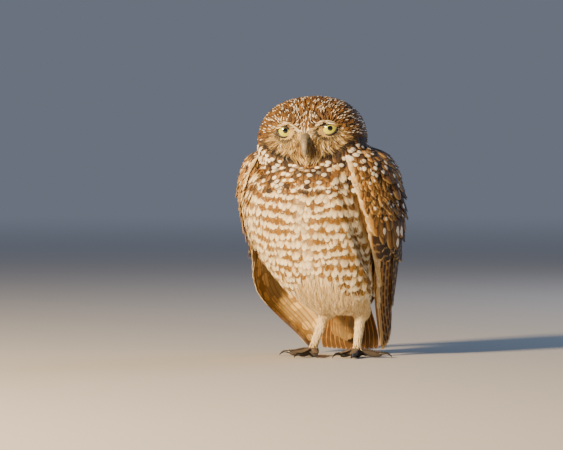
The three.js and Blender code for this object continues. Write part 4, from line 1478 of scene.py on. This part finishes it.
def scapulars(wing):
    """Six rows of broad feathers over the back, each row set between the feathers above it."""
    parts = []
    count = 9
    t = np.linspace(0, 1, count)
    rows = np.array([0, 0.25, 0.5, 0.7, 0.8, 0.89, 0.96, 1.0])
    fringe = {"each": 7, "length": 1.6, "width": 0.2, "start": 0.65}
    for i in range(6):
        z_root = 170 - i * 6 + rng.normal(0, 0.8, count)
        z_tip = z_root - mix(20, 27, t) + rng.normal(0, 1.0, count)
        angle = mix(mix(72, 96, i / 5), 158, t) + (i % 2) * 4
        root = side_by_side(angle, z_root, 2.2)
        aside = rng.normal(1.5, 2.0, count)
        tip = side_by_side(angle + aside, z_tip, 5.4 + 0.25 * i + rng.uniform(0, 2.2, count))
        half = 6.2 * leaf(rows)[None] * rng.uniform(0.9, 1.1, (count, 1))
        lie = mantle_feathers(wing, root, tip, rows)
        look = spots(0.35, 0.1, 0.5, 0.3)(count)
        # golden near the leading edge and darker behind it: partly the plumage's own colour, partly
        # painted light and painted shade
        look[:, 0] += wing_tone_and_painted_shade(wing, tip)
        parts += plumes(lie, half, look, rows, fringe, columns=7, camber=0.22, thick=0.3)
    piece("scapulars_" + wing["name"], parts, SPOTTED)


FLIGHT_ROWS = np.concatenate([np.linspace(0, 0.85, 22), [0.9, 0.94, 0.97, 0.99, 1.0]])


def long_feathers(wing, root, tip, widths, form, tilt, look, camber):
    """Vanes of flight feathers. widths: half widths, form: root, widest and tip of the leaf."""
    centre, normal = mantle_feathers(wing, root, tip, FLIGHT_ROWS, tilt)
    half = np.reshape(widths, (-1, 1)) * leaf(FLIGHT_ROWS, *form)[None] * np.ones((len(root), 1))
    return vanes(centre, normal, half, look, FLIGHT_ROWS, columns=9, camber=camber, thick=0.35)


def flight(wing):
    def edge(z):
        return leading_edge(wing, z)

    # primaries, the outermost first
    t = np.linspace(0, 1, 10)
    root = side_by_side(edge(92.0) + mix(6, 46, t**1.3), 96.0, mix(1.4, 1.9, t))
    z_tip = mix(5.5, wing["inner_tip"], t**1.6)
    tip = side_by_side(mix(edge(6.0) + 6.5, 138, t**1.4), z_tip, mix(1.6, 2.6, t))
    parts = [long_feathers(wing, root, tip, mix(4.6, 6.5, t), (0.55, 0.3, 0.15), 0.16,
                           looks(10, 0.95, 0.1, 0.3), 0.12)]
    # secondaries and tertials
    t = np.linspace(0, 1, 13)
    root = side_by_side(mix(edge(104.0) + 34, 160, t), mix(102, 106, t), mix(2.2, 2.6, t))
    tip = side_by_side(mix(edge(48.0) + 40, 170, t), mix(42, 58, t) + rng.normal(0, 0.5, 13),
                       mix(4.2, 5.0, t))
    parts.append(long_feathers(wing, root, tip, 7.4, (0.6, 0.3, 0.2), 0.14,
                               looks(13, 0.6, 0.0, 0.3), 0.16))
    # alula
    t = np.linspace(0, 1, 3)
    root = side_by_side(edge(128.0) + 6 + 9 * t, 128.0, 2.8)
    tip = side_by_side(edge(94.0) + 3 + 8 * t, 91 + 6 * t, 3.8)
    parts.append(long_feathers(wing, root, tip, 4.4, (), 0.1, looks(3, 0.4, 0.1, 0.1), 0.2))
    made = piece("flight_feathers_" + wing["name"], parts, FLIGHT)
    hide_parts("wing_" + wing["name"])


for each_wing in WINGS:
    flight(each_wing)
    coverts(each_wing)
    edge_coverts(each_wing)
    scapulars(each_wing)


# %% [markdown]
# ## Tail
# Twelve broad feathers make a closed fan, with shorter coverts over and under their roots.

# %% Tail
# root, tip: y, z and half spread. rise: how much higher the outermost tips are, half: half width
# rufous also darkens the feathers' undersides: partly the tail's own dark brown, partly painted shade
# between the legs
TAIL = ({"count": 12, "root": (43, 66, 8), "tip": (59, 3.4, 24), "rise": 1.6, "half": 5.6,
         "bars": 0.6, "rufous": 0.75, "spread": 0.12},
        {"count": 9, "root": (46, 70, 7), "tip": (56, 30, 12), "rise": 4, "half": 4.6,
         "bars": 0.3, "rufous": 0.3, "spread": 0.12},
        {"count": 9, "root": (36, 60, 6), "tip": (45, 12, 11), "rise": 5, "half": 4.6,
         "bars": 0.25, "rufous": 0.5, "spread": 0.2})
# The tail hangs to the owl's right, its tip by this much
TAIL_ASIDE = -6
TAIL_TOP = 66


def tail_tier(tier):
    rows = FLIGHT_ROWS[None]
    across = np.linspace(-1, 1, tier["count"])[:, None]
    root_y, root_z, root_spread = tier["root"]
    tip_y, tip_z, tip_spread = tier["tip"]
    z = mix(root_z, tip_z + tier["rise"] * np.abs(across), rows)
    y = mix(root_y, tip_y, rows) - np.abs(across) * 1.4
    aside = TAIL_ASIDE * (1 - z / TAIL_TOP)
    x = mix(root_spread, tip_spread, rows) * across + aside + sway(z)
    centre = side_by_side(x, y, z)
    tilt = np.sign(across)[..., None] * np.array([0.12, 0, 0])
    normal = unit(np.broadcast_to(unit(np.array([0, 1, 0.25])), centre.shape) + tilt)
    half = tier["half"] * leaf(rows, 0.6, 0.3, 0.3) * np.ones_like(across)
    look = looks(tier["count"], tier["bars"], tier["rufous"], tier["spread"])
    return vanes(centre, normal, half, look, FLIGHT_ROWS, columns=9, camber=0.1, thick=0.35)


def tail():
    made = piece("tail_feathers", [tail_tier(tier) for tier in TAIL], FLIGHT)
    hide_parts("tail")


tail()


# %% [markdown]
# ## Belly, thighs and legs
# Long soft down hangs from the lower belly over the thighs. The shanks wear short stiff bristles.

# %% Down
def on_belly(points):
    angle = np.abs(around(points) - MIDDLE)
    z = points[:, 2]
    low_middle = angle < 12 + (78 - z) * 1.15 + 60 * smooth(z, 50, 42)
    return (z > 31) & (z < 78) & low_middle & ~under_wing(points, 3) & (points[:, 1] < 34)


def belly():
    roots = scatter(lambda p: np.full(len(p), 1.55), on_belly, 26000)
    count = len(roots)
    rows = [0, 0.3, 0.6, 0.85, 1.0]
    length = mix(11, 20, smooth(roots[:, 2], 38, 60)) * rng.uniform(0.6, 1.15, count)
    lift = rng.uniform(0.2, 0.9, count)
    lie = lay(roots, body_flow, length, rows, coat_depth(roots) * 0.8, lift, swerve=0.3)
    half = 0.62 * np.array([0.8, 1.0, 0.8, 0.5, 0.1])[None] * rng.uniform(0.6, 1.4, (count, 1))
    look = looks(count, rng.uniform(0.1, 0.9, count), 0.0, 0.35)
    fringe = {"each": 3, "length": 3.6, "width": 0.14, "start": 0.3}
    parts = plumes(lie, half, look, rows, fringe, columns=3, camber=0.3, thick=0.3)
    piece("belly_down", parts, DOWN)


def on_shank(points):
    z = points[:, 2]
    return (z > 9.5) & (z < 38) & (np.abs(points[:, 1] - 4) < 10)


def shanks():
    roots = scatter(lambda p: np.full(len(p), 1.15), on_shank, 9000)
    count = len(roots)
    rows = [0, 0.4, 0.75, 1.0]
    lie = lay(roots, body_flow, 4.2 * rng.uniform(0.8, 1.2, count), rows, 0.5, 0.45, 0.12)
    half = 0.62 * np.array([0.8, 1.0, 0.8, 0.2])[None] * rng.uniform(0.7, 1.2, (count, 1))
    look = looks(count, rng.uniform(0.4, 1.0, count), 0.3 * smooth(roots[:, 2], 20, 9), 0.3)
    piece("leg_bristles", plumes(lie, half, look, rows, columns=3, camber=0.3), DOWN)


belly()
shanks()


# %% [markdown]
# ## Feet
# Bony plates run along the top of each toe, and each toe ends in a curved dark claw.

# %% Feet
FEET = ({"name": "left", "side": 1, "foot": LEFT_FOOT},
        {"name": "right", "side": -1, "foot": RIGHT_FOOT})
# Digit: turn outwards from straight ahead, toe length, claw length
DIGITS = {"hind": (158, 13.5, 8.5), "inner": (-26, 17, 9.5),
          "middle": (10, 20, 9.5), "outer": (92, 19, 9)}
# From a toe's length to where its claw starts
TOE_END = 3.5
UP = np.array([0, 0, 1.0])
# Half sizes of a bony plate, and the distance from one to the next
SCUTE = {"spacing": 1.9, "length": 1.25, "width": 2.75, "height": 0.75}


def toe_way(foot, turn):
    a = math.radians(turn)
    return np.array([foot["side"] * math.sin(a), -math.cos(a), 0])


def claws():
    colours = (0.012, 0.010, 0.009), (0.05, 0.04, 0.032)
    material = grained_material("claw", 0.3, 400, 3, colours, 0.15, 0.0002)
    t = np.linspace(0, 1, 16)
    for foot in FEET:
        for name, (turn, length, claw) in DIGITS.items():
            way = toe_way(foot, turn)
            start = foot["foot"] + way * (length + TOE_END)
            path = curve_through([start - way * 3 + UP * 3.1,
                                  start + way * claw * 0.4 + UP * 4.1,
                                  start + way * claw * 0.8 + UP * 2.6,
                                  start + way * claw + UP * 0.6], 16)
            aside = np.cross(way, UP)
            points, faces, sizes = horn(path, mix(1.5, 0.22, t), mix(1.75, 0.22, t), aside, sides=14)
            key = f"claw_{foot['name']}_{name}"
            made = new_object(key + "_horn", mesh_of(key, points, faces, sizes), material)
            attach(made, "root")
            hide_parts(key)


def scute_nodes(plate, material):
    """Lays copies of a plate along a curve, each turned to run with it."""
    tree = bpy.data.node_groups.new("scutes along a toe", "GeometryNodeTree")
    tree.interface.new_socket("Geometry", in_out="INPUT", socket_type="NodeSocketGeometry")
    spacing = tree.interface.new_socket("Spacing", in_out="INPUT", socket_type="NodeSocketFloat")
    spacing.default_value = SCUTE["spacing"] * MM
    tree.interface.new_socket("Geometry", in_out="OUTPUT", socket_type="NodeSocketGeometry")
    made = {}

    def node(name, kind, settings=None, inputs=None):
        made[name] = tree.nodes.new(kind)
        for key, setting in (settings or {}).items():
            setattr(made[name], key, setting)
        for key, given in (inputs or {}).items():
            if isinstance(given, tuple):
                tree.links.new(made[given[0]].outputs[given[1]], made[name].inputs[key])
            else:
                made[name].inputs[key].default_value = given

    node("input", "NodeGroupInput")
    node("curve", "GeometryNodeMeshToCurve", {}, {"Mesh": ("input", "Geometry")})
    node("places", "GeometryNodeResampleCurve", {"mode": "LENGTH"},
         {"Curve": ("curve", "Curve"), "Length": ("input", "Spacing")})
    node("tangent", "GeometryNodeInputTangent")
    node("turn", "FunctionNodeAlignRotationToVector", {"axis": "X", "pivot_axis": "Z"},
         {"Vector": ("tangent", "Tangent")})
    node("plate", "GeometryNodeObjectInfo", {}, {"Object": plate})
    node("size", "FunctionNodeRandomValue", {"data_type": "FLOAT"},
         {"Min": 0.9, "Max": 1.1, "Seed": 3})
    node("copies", "GeometryNodeInstanceOnPoints", {},
         {"Points": ("places", "Curve"), "Instance": ("plate", "Geometry"),
          "Rotation": ("turn", "Rotation"), "Scale": ("size", 1)})
    node("real", "GeometryNodeRealizeInstances", {}, {"Geometry": ("copies", "Instances")})
    node("painted", "GeometryNodeSetMaterial", {},
         {"Geometry": ("real", "Geometry"), "Material": material})
    node("output", "NodeGroupOutput", {}, {"Geometry": ("painted", "Geometry")})
    return tree


def scutes():
    """Bony plates along the top of each toe."""
    colours = GREY_SKIN * 0.8, GREY_SKIN * 2.6
    material = grained_material("scutes", 0.6, 900, 3, colours, 0.4, 0.0003)
    size = np.array([SCUTE["length"], SCUTE["width"], SCUTE["height"]])
    plate_mesh = ball("scute", np.zeros(3), 1.0, 8, 14)
    # the plate stands at its own origin
    plate_mesh.vertices.foreach_set("co", (read_points(plate_mesh) * size * MM).ravel())
    plate = new_object("scute", plate_mesh)
    tree = scute_nodes(plate, material)
    for foot in FEET:
        for name, (turn, length, _) in DIGITS.items():
            way = toe_way(foot, turn)
            end = length + TOE_END
            # distance from the foot's middle, and height
            places = ((5.0, 7.2), (mix(2.5, end, 0.35), 7.0),
                      (mix(2.5, end, 0.7), 5.5), (end - 0.8, 4.9))
            path = curve_through([foot["foot"] + way * out + [0, 0, z] for out, z in places], 20)
            mesh = bpy.data.meshes.new("toe_line")
            mesh.from_pydata(to_world(path).tolist(), [(i, i + 1) for i in range(len(path) - 1)], [])
            line = new_object("toe_line", mesh)
            grow = line.modifiers.new("scutes", "NODES")
            grow.node_group = tree
            graph = bpy.context.evaluated_depsgraph_get()
            real = bpy.data.meshes.new_from_object(line.evaluated_get(graph))
            bpy.data.objects.remove(line)
            made = new_object(f"scutes_{foot['name']}_{name}", real)
            real.polygons.foreach_set("use_smooth", np.ones(len(real.polygons), bool))
            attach(made, "root")
    bpy.data.objects.remove(plate)


claws()
scutes()


# %% [markdown]
# ## Stage, light and camera
# A plain pale floor, a warm key light from the owl's front right, a weak cool fill from its left
# and a cool light from behind. The camera looks from the photograph's side, almost level.

# %% Stage
BACKDROP = (0.145, 0.165, 0.21)
SKY_LIGHT = (0.085, 0.12, 0.20)
BLACK = (0, 0, 0)
# The floor's half size, and how far out it starts and ends to fade, in metres
FLOOR = {"half": 200.0, "near": 0.6, "far": 7.0, "colour": (0.60, 0.56, 0.50)}
# place, size in metres, power in watts and colour of each light
LIGHTS = {"key": ((-0.80, -1.78, 0.8), 0.3, 118, (1.0, 0.77, 0.48)),
          "fill": ((1.6, -0.8, 0.7), 1.2, 1.5, (0.45, 0.65, 1.0)),
          "back": ((0.9, 1.5, 0.9), 0.8, 12, (0.50, 0.68, 1.0))}
LIT_PLACE = Vector((0, 0, 0.12))
IMAGE = {"width": 563, "height": 450, "feet_x": 335, "feet_y": 357}
SENSOR = 36


def stage():
    """A pale floor that fades far away into the backdrop's colour."""
    sheet = Sheet("floor", roughness=0.95)
    place = sheet.node("ShaderNodeTexCoord", output="Object")
    length = sheet.node("ShaderNodeVectorMath", {"operation": "LENGTH"}, {0: place}, output="Value")
    far = length.smooth(FLOOR["near"], FLOOR["far"])
    sheet.shader.inputs["Emission Strength"].default_value = 1.0
    sheet.shader.inputs["Specular IOR Level"].default_value = 0.0
    floor_material = sheet.finish(color=sheet.blend(far, FLOOR["colour"], BLACK),
                                  glow=sheet.blend(far, BLACK, BACKDROP))
    size = FLOOR["half"]
    corners = [(-size, -size, 0), (size, -size, 0), (size, size, 0), (-size, size, 0)]
    mesh = bpy.data.meshes.new("floor")
    mesh.from_pydata(corners, [], [(0, 1, 2, 3)])
    floor = new_object("floor", mesh, floor_material)
    world = bpy.data.worlds.new("world")
    bpy.context.scene.world = world
    world.use_nodes = True
    nodes, links = world.node_tree.nodes, world.node_tree.links
    # the camera sees the backdrop, and the owl is lit by a dimmer blue sky
    sky = nodes["Background"]
    sky.inputs["Color"].default_value = (*SKY_LIGHT, 1)
    behind = nodes.new("ShaderNodeBackground")
    behind.inputs["Color"].default_value = (*BACKDROP, 1)
    seen = nodes.new("ShaderNodeMixShader")
    links.new(nodes.new("ShaderNodeLightPath").outputs["Is Camera Ray"], seen.inputs[0])
    links.new(sky.outputs[0], seen.inputs[1])
    links.new(behind.outputs[0], seen.inputs[2])
    links.new(seen.outputs[0], nodes["World Output"].inputs["Surface"])


def lights():
    for name, (place, size, power, colour) in LIGHTS.items():
        data = bpy.data.lights.new(name, "AREA")
        data.size = size
        data.energy = power
        data.color = colour
        made = bpy.data.objects.new(name, data)
        bpy.context.scene.collection.objects.link(made)
        made.location = place
        made.rotation_euler = (LIT_PLACE - Vector(place)).to_track_quat("-Z", "Y").to_euler()


def camera():
    """Looks at the image's middle, which is found from where the feet stand in the image."""
    way = camera_way()
    a = math.radians(VIEW["azimuth"])
    right = np.array([math.cos(a), math.sin(a), 0])
    up = np.cross(right, -way)
    aside = (IMAGE["width"] / 2 - IMAGE["feet_x"]) * VIEW["scale"]
    rise = (IMAGE["feet_y"] - IMAGE["height"] / 2) * VIEW["scale"]
    aim = (LEFT_FOOT + RIGHT_FOOT) / 2 + right * aside + up * rise
    data = bpy.data.cameras.new("camera")
    made = bpy.data.objects.new("camera", data)
    bpy.context.scene.collection.objects.link(made)
    made.location = to_world(aim + way * VIEW["distance"])
    made.rotation_euler = Vector(-way).to_track_quat("-Z", "Y").to_euler()
    data.sensor_width = SENSOR
    data.lens = SENSOR * VIEW["distance"] / (IMAGE["width"] * VIEW["scale"])
    bpy.context.scene.camera = made


stage()
lights()
camera()
